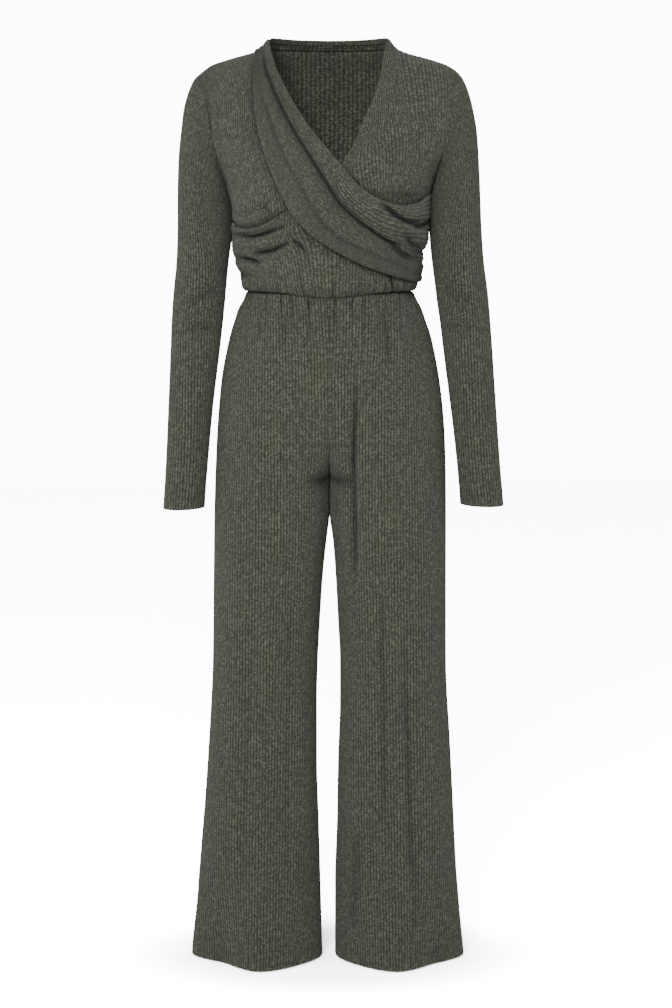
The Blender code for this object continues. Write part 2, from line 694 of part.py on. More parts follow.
def leg_base(turn, height, wearer_side):
    """Left-hand-side ring point: turn 0 at the side seam, 180 at the centre or inseam."""
    out = TROUSERS.at(height, "out_" + wearer_side)
    inner = INSEAM.at(height, wearer_side)
    middle, reach = (out + inner) / 2, (out - inner) / 2
    full = math.radians(turn)
    at_fork = smooth(1 - abs(turn - 180) / FORK_SPAN)
    hip = mix(smooth((height - THIGH_END) / (HIP_END - THIGH_END)),
              TROUSERS.at(height, "join"), at_fork)
    leg_round = 1 + TROUSERS.at(height, "square") * math.sin(2 * full) ** 2
    x = mix(middle + reach * math.cos(full) * leg_round, out * abs(math.cos(full / 2)), hip)
    x = min(max(x, 0.2), out)
    leg_y = leg_round * abs(math.sin(full))
    if hip > 0:
        leg_y = mix(leg_y, math.sqrt(max(1 - ((x - middle) / reach) ** 2, 0.0)), smooth(hip * 4))
    hip_y = math.sqrt(max(1 - (x / out) ** 2, 0.0)) * (1 + HIP_SQUARE * math.sin(full) ** 2)
    flat = (1 - smooth((turn - 50) / 45)) * smooth((HEM_FLAT_TOP - height) / 190)
    depth = TROUSERS.at(height, "front" if math.sin(full) >= 0 else "back")
    depth = depth * mix(leg_y, hip_y, hip) * (1 - HEM_FLAT[wearer_side] * flat)
    return (x, -depth if math.sin(full) >= 0 else depth, height)


def trouser_surface(wearer_side, face):
    sign = -1 if wearer_side == "right" else 1
    def place(turn, height):
        seam = waist_height(90 - turn / 2 if face == "front" else 180) - WAIST_HEIGHT
        sag = (seam - WAIST_GAP) * (1 - smooth((WAIST_HEIGHT - height) / 90))
        x, y, z = leg_base(turn, height, wearer_side)
        return (sign * x, y, z + sag)

    def surface(u, v):
        height = v
        gap = mix(LEG_SEAM_ANGLE, HEM_SEAM_ANGLE, smooth((-1150 - height) / 120))
        turn = mix(180 - gap, gap, u)
        if face == "back":
            turn = 360 - turn
        base = place(turn, height)
        middle = (sign * 90.0, 0.0, height)
        normal = outward(place, turn, height, 2.0, 2.0, middle)
        size = folds_at(base[0], base[2], TROUSER_FOLDS)
        if face == "back":
            size = 0.7 * folds_at(-base[0], base[2], TROUSER_FOLDS)
        return moved(base, normal, size)

    return surface


LEG_ROWS = [-341, -346, -354, -365, -380, -400, -424, -450, -480, -510, -538, -562, -582,
            -598, -610, -619, -626, -634, -655, -680, -705, -740, -790, -850, -920, -990,
            -1060, -1130, -1200, -1265, -1325, -1370, HEM_HEIGHT]
DRAPE_COLUMNS = [0, 0.005, 0.013, 0.025, 0.042, 0.065] + steps(19, 0.095, 0.83) + [
    0.86, 0.885, 0.91, 0.932, 0.95, 0.966, 0.98, 0.991, 1]
RING_COLUMNS = 20
ARMHOLE_ROWS = [ARMPIT_HEIGHT / 2 * (1 - math.cos(2 * math.pi * index / RING_COLUMNS))
                for index in range(RING_COLUMNS // 2, -1, -1)]
SIDE_ROWS = [-341, -335, -327, -317, -305, -292, -278, -263, -247, -231, -214, -198]


def rows_from(low, heights):
    """Edge heights as shares of the edge from low up to the shoulder point."""
    return [(height - low) / (0 - low) for height in heights + ARMHOLE_ROWS]


def build():
    for item in list(bpy.data.objects):
        bpy.data.objects.remove(item, do_unlink=True)
    group = bpy.data.collections.new(OBJECT_NAME)
    bpy.context.scene.collection.children.link(group)

    body_rows = rows_from(WAIST_HEIGHT, SIDE_ROWS)
    bust_rows = rows_from(RIGHT_SIDE_LOW, [RIGHT_SIDE_LOW, -240, -232, -222, -211, -197])
    cloth("bodice_back", steps(24), body_rows, back_surface)
    cloth("neckband_back", steps(12), steps(1), band_surface, colour=OLIVE_DEEP, wall=1.6)
    cloth("bodice_front_right", steps(11), bust_rows, right_bust_surface)
    cloth("bodice_front_left", steps(30), body_rows, left_front_surface)
    across = [row[0] for row in DRAPE_PROFILE.rows]
    cloth("drape_over", DRAPE_COLUMNS, across, drape_surface)
    ring_rows = [row[0] for row in SLEEVE.rows]
    for sign, wearer_side in ((-1, "right"), (1, "left")):
        cloth("sleeve_" + wearer_side, steps(RING_COLUMNS), ring_rows,
              sleeve_surface(wearer_side), axis_x=sign * SLEEVE_AXIS, tube=True)
        for face in ("front", "back"):
            cloth("trouser_%s_%s" % (face, wearer_side), steps(11), LEG_ROWS,
                  trouser_surface(wearer_side, face), axis_x=sign * LEG_AXIS)


build()
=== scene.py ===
"""Rib-knit jumpsuit, filled out as if worn: a crossed, draped bodice, sleeves and wide legs.

The panels are worked out in millimetres and handed to Blender in metres. X runs to the
viewer's right, the front faces -Y and Z is up, with the origin at shoulder height. "right" in
a name is the wearer's right, at -X. An angle of 0 is the centre front, -90 the right side
seam, 90 the left one and 180 the centre back.
"""

import math
from collections import namedtuple

import bmesh
import bpy
import numpy as np
from mathutils import Matrix, Vector


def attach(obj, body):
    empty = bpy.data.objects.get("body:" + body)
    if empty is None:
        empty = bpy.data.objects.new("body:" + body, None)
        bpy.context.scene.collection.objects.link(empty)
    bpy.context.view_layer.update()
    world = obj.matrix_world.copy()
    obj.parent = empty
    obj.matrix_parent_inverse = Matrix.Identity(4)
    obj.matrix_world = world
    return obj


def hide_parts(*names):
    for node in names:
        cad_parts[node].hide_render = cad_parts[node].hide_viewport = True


bl_info = {
    "name": "Rib-Knit Jumpsuit",
    "version": (1, 0, 0),
    "blender": (4, 5, 0),
    "location": "View3D > Sidebar > Jumpsuit",
    "description": "Sews a draped rib-knit jumpsuit and sets it on a pale stage",
    "category": "Object",
}

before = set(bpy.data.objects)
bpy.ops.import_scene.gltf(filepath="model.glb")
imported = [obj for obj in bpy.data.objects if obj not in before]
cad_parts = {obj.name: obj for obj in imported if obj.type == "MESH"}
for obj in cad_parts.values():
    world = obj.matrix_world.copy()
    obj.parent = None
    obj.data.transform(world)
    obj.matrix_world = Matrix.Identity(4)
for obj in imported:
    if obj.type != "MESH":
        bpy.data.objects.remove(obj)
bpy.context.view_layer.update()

MM = 0.001
KNIT_MAP = "Knit"
# Name of the point attribute of painted shade, which darkens the knit's colour in folds, at seams
# and gathers, and beside the edges of layers above
PAINTED_SHADE_MAP = "Crease"
COLUMNS_PER_RIB = 4

# Gaps between the panels (below 0 they overlap), and how far one layer lies on the next
SEAM_ANGLE = 0.06
SHOULDER_SEAM_ANGLE = 0.14
LEG_SEAM_ANGLE = 0.07
ARMHOLE_GAP = -0.4
WAIST_GAP = 0.3
LAYER_STEP = 2.8
DRAPE_LIFT = 5.4
DRAPE_SINK = 2.2
DRAPE_SHOULDER_LIFT = 2.5
DRAPE_END_LIFT = 2.6

# Landmarks
NECK_HEIGHT = 39.5
BAND_FOOT = 31.8
ARMPIT_HEIGHT = -182.0
WAIST_HEIGHT = -341.0
WAIST_SAG = 8.5
HEM_HEIGHT = -1396.5

# Bust, worked into the cut of both fronts
BUST_REACH = 80.0
BUST_HEIGHT = -188.0
BUST_WIDTH = 42.0
BUST_TALL = 46.0
BUST_OUT = 12.0


# Curves and tables

class Table:
    """Rows of named columns, read between the rows along a smooth curve that never overshoots."""

    def __init__(self, columns, rows):
        self.columns = columns.split()
        self.rows = np.array(sorted(rows), float)
        self.keys = self.rows[:, 0]
        rise = np.diff(self.rows, axis=0) / np.diff(self.keys)[:, None]
        before, after = rise[:-1], rise[1:]
        turns = before * after <= 0
        total = np.where(turns, 1.0, before + after)
        self.slopes = np.zeros_like(self.rows)
        self.slopes[0], self.slopes[-1] = rise[0], rise[-1]
        self.slopes[1:-1] = np.where(turns, 0.0, 2 * before * after / total)

    def at(self, key, name):
        column = self.columns.index(name)
        key = np.clip(key, self.keys[0], self.keys[-1])
        low = np.clip(np.searchsorted(self.keys, key, side="right"), 1, len(self.keys) - 1) - 1
        span = self.keys[low + 1] - self.keys[low]
        t = (key - self.keys[low]) / span
        start, end = self.rows[low, column], self.rows[low + 1, column]
        leave, arrive = self.slopes[low, column] * span, self.slopes[low + 1, column] * span
        return ((2 * t ** 3 - 3 * t ** 2 + 1) * start + (t ** 3 - 2 * t ** 2 + t) * leave
                + (3 * t ** 2 - 2 * t ** 3) * end + (t ** 3 - t ** 2) * arrive)


def smooth(value):
    value = np.clip(value, 0.0, 1.0)
    return value * value * (3 - 2 * value)


def mix(start, end, t):
    return start + (end - start) * t


def point(x, y, z):
    return np.stack(np.broadcast_arrays(x, y, z), axis=-1).astype(float)


def unit(vectors):
    return vectors / np.maximum(np.linalg.norm(vectors, axis=-1, keepdims=True), 1e-9)


FINE_STEPS = 361


def outward(surface, a, b, step_a, step_b, centre):
    """Unit normals of surface(a, b), on the side away from centre."""
    across = surface(a + step_a, b) - surface(a - step_a, b)
    along = surface(a, b + step_b) - surface(a, b - step_b)
    normal = unit(np.cross(across, along))
    away = surface(a, b) - centre
    return np.where((normal * away).sum(-1, keepdims=True) < 0, -normal, normal)


def sines(place, waves, seed):
    """Uneven ripple of about unit height along a place in millimetres."""
    total = 0.0
    for index, wave in enumerate(waves):
        total = total + np.sin(2 * math.pi * place / wave + seed * (index + 1.7) * 2.1)
    return total / len(waves) ** 0.5


# The upper body's ring at each height, arms' roots included above the armpit
BODY = Table("height side front back square span", [
    (45, 88, 50, 61, 0.00, 200),
    (37, 93.5, 52, 63, 0.00, 200),
    (30, 99.5, 56, 66, 0.00, 201),
    (24, 107, 58, 68, -0.03, 202),
    (18, 124, 60, 71, -0.06, 203),
    (12, 147, 63, 74, -0.08, 204),
    (6, 167, 66, 77, -0.08, 205),
    (0, 182, 70, 80, -0.07, 206),
    (-30, 206, 83, 91, -0.03, 211),
    (-60, 214, 95, 100, 0.00, 214),
    (-90, 212, 106, 105, 0.01, 212),
    (-120, 196, 116, 107, 0.02, 196),
    (-150, 176, 123, 107, 0.04, 176),
    (-173, 162.5, 126, 104, 0.06, 162.5),
    (-190, 156, 127, 102, 0.06, 156),
    (-215, 150, 124, 99, 0.06, 150),
    (-245, 147, 117, 97, 0.06, 147),
    (-270, 145, 112, 97, 0.06, 145),
    (-300, 140, 110, 97, 0.06, 140),
    (-325, 134.5, 107, 96, 0.06, 134.5),
    (-336, 131.5, 103, 93, 0.06, 131.5),
    (-345, 128.5, 97, 89, 0.06, 128.5),
    (-360, 126, 96, 88, 0.06, 126),
])

# The armhole seam seen from the front
ARMHOLE = Table("height reach", [
    (0, 182), (-22, 184.5), (-45, 185), (-90, 180), (-137, 171), (-170, 161.5),
    (ARMPIT_HEIGHT, 157.5),
])


def body(angle, height):
    """Points on the upper body's surface."""
    turn = np.radians(angle)
    facing = np.cos(turn)
    depth = np.where(facing > 0, BODY.at(height, "front"), BODY.at(height, "back"))
    round_out = 1 + BODY.at(height, "square") * np.sin(2 * turn) ** 2
    x = BODY.at(height, "side") * np.sin(turn) * round_out
    y = -depth * facing * round_out
    for centre in (-BUST_REACH, BUST_REACH):
        across = (x - centre) / BUST_WIDTH
        along = (height - BUST_HEIGHT) / BUST_TALL
        y = y - BUST_OUT * np.maximum(facing, 0) * np.exp(-(across ** 2 + along ** 2) / 2)
    return point(x, y, height)


def seam_gap(height):
    """Half the gap at the side and shoulder seams, as an angle."""
    return mix(SEAM_ANGLE, SHOULDER_SEAM_ANGLE, smooth((height + 30) / 28))


def angle_at(x, height):
    """The angle at which the body's front has the given x, kept off the side seams."""
    x, height = np.broadcast_arrays(x, height)
    high = 90.0 - seam_gap(height)
    low = -high
    for _ in range(30):
        middle = (low + high) / 2
        short = body(middle, height)[..., 0] < x
        low, high = np.where(short, middle, low), np.where(short, high, middle)
    return (low + high) / 2


def spread(x, height):
    """Turn x into degrees across, 90 at the sides below the arms and less at the shoulders."""
    return np.degrees(np.arcsin(np.clip(x / BODY.at(height, "span"), -1.0, 1.0)))


def edge_reach(height):
    """Half the width, from the front, of the side seam, the armhole and the shoulder seam."""
    return np.where(height <= ARMPIT_HEIGHT, BODY.at(height, "span"),
                    np.where(np.asarray(height) >= 0, BODY.at(height, "side"),
                             ARMHOLE.at(height, "reach")))


def waist_height(angle):
    """The waist seam, which sags at the centre front."""
    sag = WAIST_SAG * np.exp(-(np.asarray(angle) / 30) ** 2)
    return WAIST_HEIGHT - np.where(np.abs(angle) > 90, 0.0, sag)


def body_out(angle, height, distance):
    """Points moved out from the body's surface."""
    centre = point(0.0, 0.0, np.minimum(height, -40.0))
    normal = outward(body, angle, height, 1.0, 1.5, centre)
    return body(angle, height) + normal * np.asarray(distance)[..., None]


def distance_to_run(x, height, run):
    """Distance to a run of points, and how far along it, from 0 to 1, the nearest place is."""
    best, place = np.full(np.shape(x), 1e9), np.zeros(np.shape(x))
    for index, ((x0, z0), (x1, z1)) in enumerate(zip(run, run[1:])):
        dx, dz = x1 - x0, z1 - z0
        t = np.clip(((x - x0) * dx + (height - z0) * dz) / (dx * dx + dz * dz), 0.0, 1.0)
        gap = np.hypot(x - x0 - dx * t, height - z0 - dz * t)
        place = np.where(gap < best, (index + t) / (len(run) - 1), place)
        best = np.minimum(gap, best)
    return best, place


# How strong a fold still is at its ends, and over what share of its length it fades
FOLD_END = 0.35
FOLD_FADE = 0.3


def folds_at(x, height, folds):
    """Sum of the folds' rise at a place, each fading towards its two ends."""
    total = np.zeros(np.shape(x))
    for fold in folds:
        gap, place = distance_to_run(x, height, fold.run)
        fade = mix(FOLD_END, 1.0, smooth(np.minimum(place, 1 - place) / FOLD_FADE))
        total += fold.size * fade * np.exp(-(gap / fold.width) ** 2)
    return total


def patch(bottom, top, left, right):
    """Surface in x and height between four edges, each a function to (x, height), that meet
    at their corners. Across, it is spaced by angle, so it stays fine round the sides."""
    def ruled(u, v):
        (x0, z0), (x1, z1) = bottom(u), top(u)
        height = mix(z0, z1, v)
        across = np.radians(mix(spread(x0, z0), spread(x1, z1), v))
        return BODY.at(height, "span") * np.sin(across), height

    def at(u, v):
        x, height = ruled(u, v)
        for share, edge, end in ((1 - u, left, 0.0), (u, right, 1.0)):
            true_x, true_z = edge(v)
            flat_x, flat_z = ruled(np.full(np.shape(v), end), v)
            x = x + share * (true_x - flat_x)
            height = height + share * (true_z - flat_z)
        return angle_at(x, height), height

    return at


# A fold: size is its rise (+) or depth (-), width how far it spreads and run its line of
# (x, height) points, as seen from the front for both fronts and from behind for the back
Fold = namedtuple("Fold", "size width run")
UNDER_BUST_FOLDS = [
    Fold(5.5, 7, [(-54, -222), (-88, -237), (-110, -246), (-130, -249), (-150, -246)]),
    Fold(-9.0, 4, [(-70, -245), (-91, -253), (-104, -256), (-118, -258), (-138, -254)]),
    Fold(5.0, 8, [(-60, -256), (-80, -265), (-106, -270), (-146, -266)]),
    Fold(-9.0, 4, [(-62, -268), (-84, -279), (-98, -282), (-114, -283)]),
    Fold(4.0, 6, [(-92, -291), (-118, -284), (-146, -279)]),
    Fold(-8.0, 3.5, [(-106, -297), (-118, -294), (-134, -290)]),
    Fold(3.0, 8, [(-100, -304), (-124, -303), (-146, -301)]),
    Fold(5.0, 10, [(-142, -306), (-148, -292), (-150, -278)]),
    Fold(-5.0, 7, [(-110, -317), (-130, -320), (-143, -315)]),
    Fold(-3.0, 3, [(-60, -258), (-42, -270), (-33, -284)]),
    Fold(2.4, 5, [(-58, -250), (-36, -264), (-26, -280)]),
    Fold(-5.0, 3, [(84, -308), (93, -320), (97, -346)]),
    Fold(2.4, 5, [(76, -314), (84, -326), (88, -344)]),
]
BUST_FOLDS = [
    Fold(-6.0, 4, [(-56, -216), (-76, -227), (-92, -237)]),
    Fold(4.0, 8, [(-70, -216), (-98, -229), (-128, -236), (-152, -232)]),
    Fold(-3.0, 5, [(-99, -206), (-93, -218), (-84, -230)]),
    Fold(-2.4, 8, [(-168, -136), (-156, -162), (-142, -190)]),
]
LEFT_BUST_FOLDS = [
    Fold(-2.0, 9, [(168, -136), (158, -158), (150, -180)]),
    Fold(-2.4, 7, [(74, -188), (98, -197), (122, -198), (140, -192)]),
]
DRAPE_FOLDS = [
    Fold(-10.0, 4, [(74, -207), (87, -221), (98, -229), (109, -234), (122, -234)]),
    Fold(-7.0, 3.5, [(114, -239), (127, -243), (137, -240), (148, -233)]),
    Fold(-8.0, 4, [(110, -253), (116, -262), (124, -272), (136, -280), (148, -279)]),
    Fold(-10.0, 4, [(89, -272), (101, -282), (109, -288), (118, -292)]),
    Fold(4.0, 6, [(82, -206), (98, -217), (112, -223), (140, -224)]),
    Fold(4.0, 6, [(94, -240), (110, -247), (124, -257), (146, -262)]),
    Fold(4.0, 6, [(98, -266), (112, -277), (126, -290), (144, -293)]),
]


# Bodice

def side_edge(sign, low):
    """Side seam and armhole as one edge, from height low up to the shoulder point."""
    def edge(v):
        height = mix(low, 0.0, v)
        return (sign * edge_reach(height), height)

    return edge


def shoulder(sign, height):
    return (sign * edge_reach(height), height)


def waist_edge(u):
    across = mix(-90, 90, u)
    height = waist_height(across)
    return (BODY.at(height, "span") * np.sin(np.radians(across)), height)


BACK_TOP = Table("u x height", [
    (0.00, -182, 0), (0.07, -158, 9), (0.14, -130, 17), (0.20, -111, 24),
    (0.25, -98.6, BAND_FOOT), (0.30, -93.8, BAND_FOOT), (0.35, -81.7, BAND_FOOT),
    (0.40, -59.4, BAND_FOOT), (0.45, -31.2, BAND_FOOT), (0.5, 0, BAND_FOOT),
    (0.55, 31.2, BAND_FOOT), (0.60, 59.4, BAND_FOOT), (0.65, 81.7, BAND_FOOT),
    (0.70, 93.8, BAND_FOOT), (0.75, 98.6, BAND_FOOT), (0.80, 111, 24), (0.86, 130, 17),
    (0.93, 158, 9), (1.00, 182, 0),
])
NECK_FOOT = (0.25, 0.75)


def back_top(u):
    height = BACK_TOP.at(u, "height")
    on_neck = (u > NECK_FOOT[0]) & (u < NECK_FOOT[1])
    seam_x = np.where(u > 0.5, 1, -1) * edge_reach(height)
    return (np.where(on_neck, BACK_TOP.at(u, "x"), seam_x), height)


def back_bottom(u):
    reach = edge_reach(WAIST_HEIGHT) * np.sin(np.radians(mix(-90, 90, u)))
    return (reach, np.full(np.shape(u), WAIST_HEIGHT))


BACK_PATCH = patch(back_bottom, back_top, side_edge(-1, WAIST_HEIGHT),
                   side_edge(1, WAIST_HEIGHT))


# The bloused edge: how far out it rolls, over what height it does so, and where above the
# waist seam and over what height it eases back
BLOUSE_OUT = 2.6
BLOUSE_ROLL = 9
BLOUSE_TOP = 12
BLOUSE_EASE = 26


def blouson(angle, height):
    """The bodice rolls out a little just above the waist seam."""
    above = height - waist_height(np.where(np.asarray(angle) <= 90, angle, 180.0))
    return (BLOUSE_OUT * smooth(above / BLOUSE_ROLL)
            * (1 - smooth((above - BLOUSE_TOP) / BLOUSE_EASE)))


BACK_FOLDS = [
    Fold(-1.3, 9, [(-150, -150), (-120, -196), (-92, -232)]),
    Fold(-1.3, 9, [(150, -150), (122, -194), (90, -236)]),
    Fold(1.2, 10, [(-152, -176), (-118, -224), (-80, -262)]),
    Fold(1.2, 10, [(152, -176), (120, -222), (84, -258)]),
    Fold(-1.6, 8, [(-128, -300), (-86, -306), (-40, -298)]),
    Fold(-1.5, 8, [(130, -294), (88, -302), (34, -306)]),
    Fold(1.2, 9, [(-120, -282), (-70, -286), (-10, -280), (60, -286), (118, -280)]),
    Fold(-0.9, 12, [(-34, -40), (-38, -120), (-30, -200)]),
    Fold(-0.9, 12, [(40, -30), (36, -110), (42, -190)]),
]


def back_surface(u, v):
    angle, height = BACK_PATCH(u, v)
    angle = 180 - angle
    x = body(angle, height)[..., 0]
    return body_out(angle, height, blouson(angle, height) + folds_at(x, height, BACK_FOLDS))


BAND_TOP = Table("turn height", [(0, 39.4), (14, 43.4), (32, 44.0), (60, 43.5), (90, 43.3)])


def band_surface(u, v):
    """The neckband rises from the back neck edge and shares its points."""
    foot = mix(NECK_FOOT[0], NECK_FOOT[1], u)
    angle = 180 - angle_at(BACK_TOP.at(foot, "x"), BAND_FOOT)
    end = 180 - (90 - seam_gap(BAND_FOOT)) * np.where(u > 0.5, 1, -1)
    angle = np.where((u <= 0) | (u >= 1), end, angle)
    top = BAND_TOP.at(90 - np.abs(180 - angle), "height")
    return body_out(angle, mix(BAND_FOOT + 0.3, top, v), 0.2)


# Left front: waist, and a top edge that runs from the right side seam under the bust, under
# the drape, up the V to the neck and along the shoulder
LEFT_TOP = Table("u x height", [
    (0.00, -148, -238), (0.08, -136, -244), (0.17, -119, -246), (0.25, -103, -243),
    (0.33, -84, -233), (0.41, -58, -217), (0.46, -32, -196), (0.50, -10, -176),
    (0.53, 17, -152), (0.57, 39, -116), (0.61, 53, -83), (0.65, 67, -50), (0.69, 76, -21),
    (0.73, 80.5, 5), (0.76, 84.5, 24), (0.78, 88.0, 35), (0.80, 91.8, NECK_HEIGHT),
    (0.86, 118, 20.6), (0.93, 152, 10.4), (1.00, 182, 0),
])
NECK_U = 0.80


def left_top(u):
    height = LEFT_TOP.at(u, "height")
    seam_x = np.where(u > 0.5, 1, -1) * edge_reach(height)
    return (np.where((u >= NECK_U) | (u <= 0), seam_x, LEFT_TOP.at(u, "x")), height)


LEFT_PATCH = patch(
    waist_edge,
    left_top,
    lambda v: shoulder(-1, mix(WAIST_HEIGHT, LEFT_TOP.at(0, "height"), v)),
    side_edge(1, WAIST_HEIGHT),
)
UNDER_EDGE = Table("x height", [(row[1], row[2]) for row in LEFT_TOP.rows if row[1] <= 17])


def under_edge(x):
    """Height of the left front's edge where it crosses the right side."""
    return UNDER_EDGE.at(x, "height")


# Right bust panel: an edge under the drape against side seam, armhole and shoulder. It ends
# just below the edge of the left front, which lies over it
TUCKED = 8.0
RIGHT_INNER = Table("height x", [
    (NECK_HEIGHT, -91.8), (34, -93), (24, -95), (8, -96), (-11, -93), (-50, -81), (-90, -62),
    (-130, -42), (-170, -24), (-200, -14),
])
RIGHT_SIDE_LOW = float(LEFT_TOP.at(0, "height")) - TUCKED
RIGHT_INNER_LOW = float(under_edge(RIGHT_INNER.at(-184, "x"))) - TUCKED


def right_inner(v):
    height = mix(RIGHT_INNER_LOW, NECK_HEIGHT, v)
    end = -edge_reach(np.full(np.shape(v), NECK_HEIGHT))
    return (np.where(v >= 1, end, RIGHT_INNER.at(height, "x")), height)


def right_bottom(u):
    start = float(RIGHT_INNER.at(RIGHT_INNER_LOW, "x"))
    across = mix(spread(start, RIGHT_INNER_LOW), -90.0, u)
    x = edge_reach(RIGHT_SIDE_LOW) * np.sin(np.radians(across))
    height = under_edge(x) - TUCKED
    height = np.where(u <= 0, RIGHT_INNER_LOW, np.where(u >= 1, RIGHT_SIDE_LOW, height))
    return (np.where(u <= 0, start, x), height)


RIGHT_PATCH = patch(
    right_bottom,
    lambda u: shoulder(-1, mix(NECK_HEIGHT, 0.0, u)),
    right_inner,
    side_edge(-1, RIGHT_SIDE_LOW),
)


def right_bust_surface(u, v):
    angle, height = RIGHT_PATCH(u, v)
    x = body(angle, height)[..., 0]
    clear = smooth((height - under_edge(x) - 2) / 10)
    return body_out(angle, height, clear * folds_at(x, height, BUST_FOLDS))


def left_front_surface(u, v):
    """The left front lies on the right bust panel wherever both are there."""
    angle, height = LEFT_PATCH(u, v)
    x = body(angle, height)[..., 0]
    layer = LAYER_STEP * (1 - smooth((x + 4) / 26)) * smooth((height + 292) / 22)
    rise = layer + blouson(angle, height)
    rise = rise + folds_at(x, height, UNDER_BUST_FOLDS) + folds_at(x, height, LEFT_BUST_FOLDS)
    covers = np.where(x < 17, smooth((height - under_edge(x) + TUCKED + 5) / 4), 0.0)
    return body_out(angle, height, mix(rise, np.maximum(rise, layer - 0.2), covers))


# Drape: four lines that cross the body from the right shoulder seam to the left side seam.
# top is the V edge, roll the groove behind its rolled edge, trough a soft fold, edge the hem
DRAPE = Table("t top_x top_z roll_x roll_z trough_x trough_z edge_x edge_z", [
    (0.00, -91.8, 39.2, -101, 29.2, -106.5, 25.0, -112, 22.2),
    (0.09, -81, -2, -95.5, -8, -104, -16, -112.5, -22),
    (0.18, -67, -35, -82, -44, -97, -53, -110, -62),
    (0.27, -51, -65, -67, -76, -85, -88, -105, -101),
    (0.36, -30, -98, -47, -113, -71, -128, -93, -141),
    (0.45, -6, -128, -27, -145, -53, -165, -78, -179),
    (0.54, 20, -157, -5, -179, -31, -202, -58, -219),
    (0.63, 48, -188, 16, -210, -8, -236, -31, -252),
    (0.72, 78, -204, 42, -233, 20, -260, 5, -278),
    (0.80, 105, -211, 67, -252, 52, -277, 43, -298),
    (0.87, 126, -208, 89, -268, 86, -293, 82, -313),
    (0.94, 144, -199, 114, -285, 114, -305, 112, -322),
    (1.00, 155.5, -193, 140.5, -297, 136.5, -312, 133.5, -326),
])
DRAPE_PROFILE = Table("s rise slip", [
    (0.00, -0.2, 0), (0.03, 5.5, -0.012), (0.07, 9.6, -0.014), (0.13, 12.0, 0.004),
    (0.19, 10.6, 0.040), (0.235, 6.0, 0.052), (0.262, 1.2, 0.026), (0.28, -1.8, 0.004),
    (0.30, -2.1, 0), (0.325, 0.8, -0.010), (0.37, 7.4, -0.012), (0.43, 10.0, 0),
    (0.50, 9.2, 0.006), (0.56, 7.6, 0.006), (0.60, 6.4, 0), (0.64, 6.6, -0.004),
    (0.71, 7.8, -0.003), (0.80, 9.2, 0), (0.89, 8.8, 0.008), (0.95, 6.0, 0.018),
    (0.98, 2.6, 0.010), (1.00, -0.3, 0),
])
DRAPE_LINES = ((0.0, "top"), (0.30, "roll"), (0.60, "trough"), (1.0, "edge"))


def drape_place(s, t):
    """(angle, height) at s across the drape and t along it."""
    x, height = np.zeros(np.shape(s)), np.zeros(np.shape(s))
    for (s0, first), (s1, second) in zip(DRAPE_LINES, DRAPE_LINES[1:]):
        part = np.clip((s - s0) / (s1 - s0), 0.0, 1.0)
        here = (s >= s0) & (s <= s1)
        x = np.where(here, mix(DRAPE.at(t, first + "_x"), DRAPE.at(t, second + "_x"), part), x)
        height = np.where(here, mix(DRAPE.at(t, first + "_z"), DRAPE.at(t, second + "_z"), part),
                          height)
    end = (90 - seam_gap(height)) * np.where(t >= 1, 1, -1)
    return np.where((t <= 0) | (t >= 1), end, angle_at(x, height)), height


def drape_line(name, start=0.0):
    """A line of the drape as a run of (x, height), from the share start of its length on."""
    rows = DRAPE.rows[DRAPE.rows[:, 0] >= start]
    place = DRAPE.columns.index(name + "_x")
    return [(row[place], row[place + 1]) for row in rows]


def drape_surface(s, t):
    fade = smooth(t / 0.12) * (1 - smooth((t - 0.8) / 0.18))
    angle, height = drape_place(np.clip(s + fade * DRAPE_PROFILE.at(s, "slip"), 0, 1), t)
    x = body(angle, height)[..., 0]
    strength = mix(0.05, 1.0, smooth(t / 0.25)) * mix(1.0, 0.35, smooth((t - 0.84) / 0.16))
    lift = mix(DRAPE_SHOULDER_LIFT, DRAPE_LIFT, smooth(t / 0.2))
    lift = mix(lift, DRAPE_END_LIFT, smooth((t - 0.86) / 0.12))
    under = blouson(angle, height) + np.maximum(folds_at(x, height, UNDER_BUST_FOLDS), 0.0)
    inside = smooth(s / 0.08) * smooth((1 - s) / 0.08)
    own = strength * DRAPE_PROFILE.at(s, "rise") + inside * folds_at(x, height, DRAPE_FOLDS)
    return body_out(angle, height, lift + under + np.maximum(own, -DRAPE_SINK))


# Sleeves: rings from the armhole to the cuff. Each has a point on the arm's outer line and
# one on its inner line; right and left differ slightly
SLEEVE = Table("v out_z out_right out_left in_z in_right in_left front back shift", [
    (0.00, 0, 182, 182, -182, 157.5, 157.5, 53, 54, 0),
    (0.05, -8, 193, 194, -190, 156.6, 156.4, 54, 55, 0),
    (0.10, -20, 206, 204, -199, 153.8, 154.4, 55, 56, -1),
    (0.15, -40, 215.5, 212.5, -208, 151.2, 153.0, 56, 56, -1),
    (0.20, -66, 222.5, 219.5, -219, 149.2, 152.0, 56, 56, -2),
    (0.26, -100, 227, 225.5, -232, 148.2, 152.2, 55, 55, -2),
    (0.32, -140, 231, 228.5, -248, 148.8, 153.4, 54, 54, -3),
    (0.38, -190, 232.7, 231, -268, 151.0, 154.6, 53, 53, -4),
    (0.44, -242, 233.2, 233.2, -292, 154.5, 157.1, 51, 52, -5),
    (0.50, -294, 235.2, 237.2, -320, 157.4, 160.7, 50, 50, -6),
    (0.56, -343, 240.2, 243.7, -352, 160.4, 165.0, 48, 48, -8),
    (0.62, -390, 243.4, 248.1, -392, 164.4, 170.4, 46, 46, -11),
    (0.68, -440, 245.4, 251.7, -440, 169.9, 176.3, 44, 44, -15),
    (0.76, -500, 247.9, 255.6, -500, 177.4, 183.8, 42, 41, -20),
    (0.84, -560, 250.5, 259.6, -560, 183.5, 191.0, 39, 39, -25),
    (0.92, -620, 253.3, 263.8, -620, 188.6, 197.3, 37, 37, -30),
    (0.97, -657, 255.7, 267.2, -655, 191.5, 200.4, 36.5, 36, -33),
    (1.00, -679, 257.3, 268.9, -677, 192.7, 201.8, 36.5, 36, -35),
])
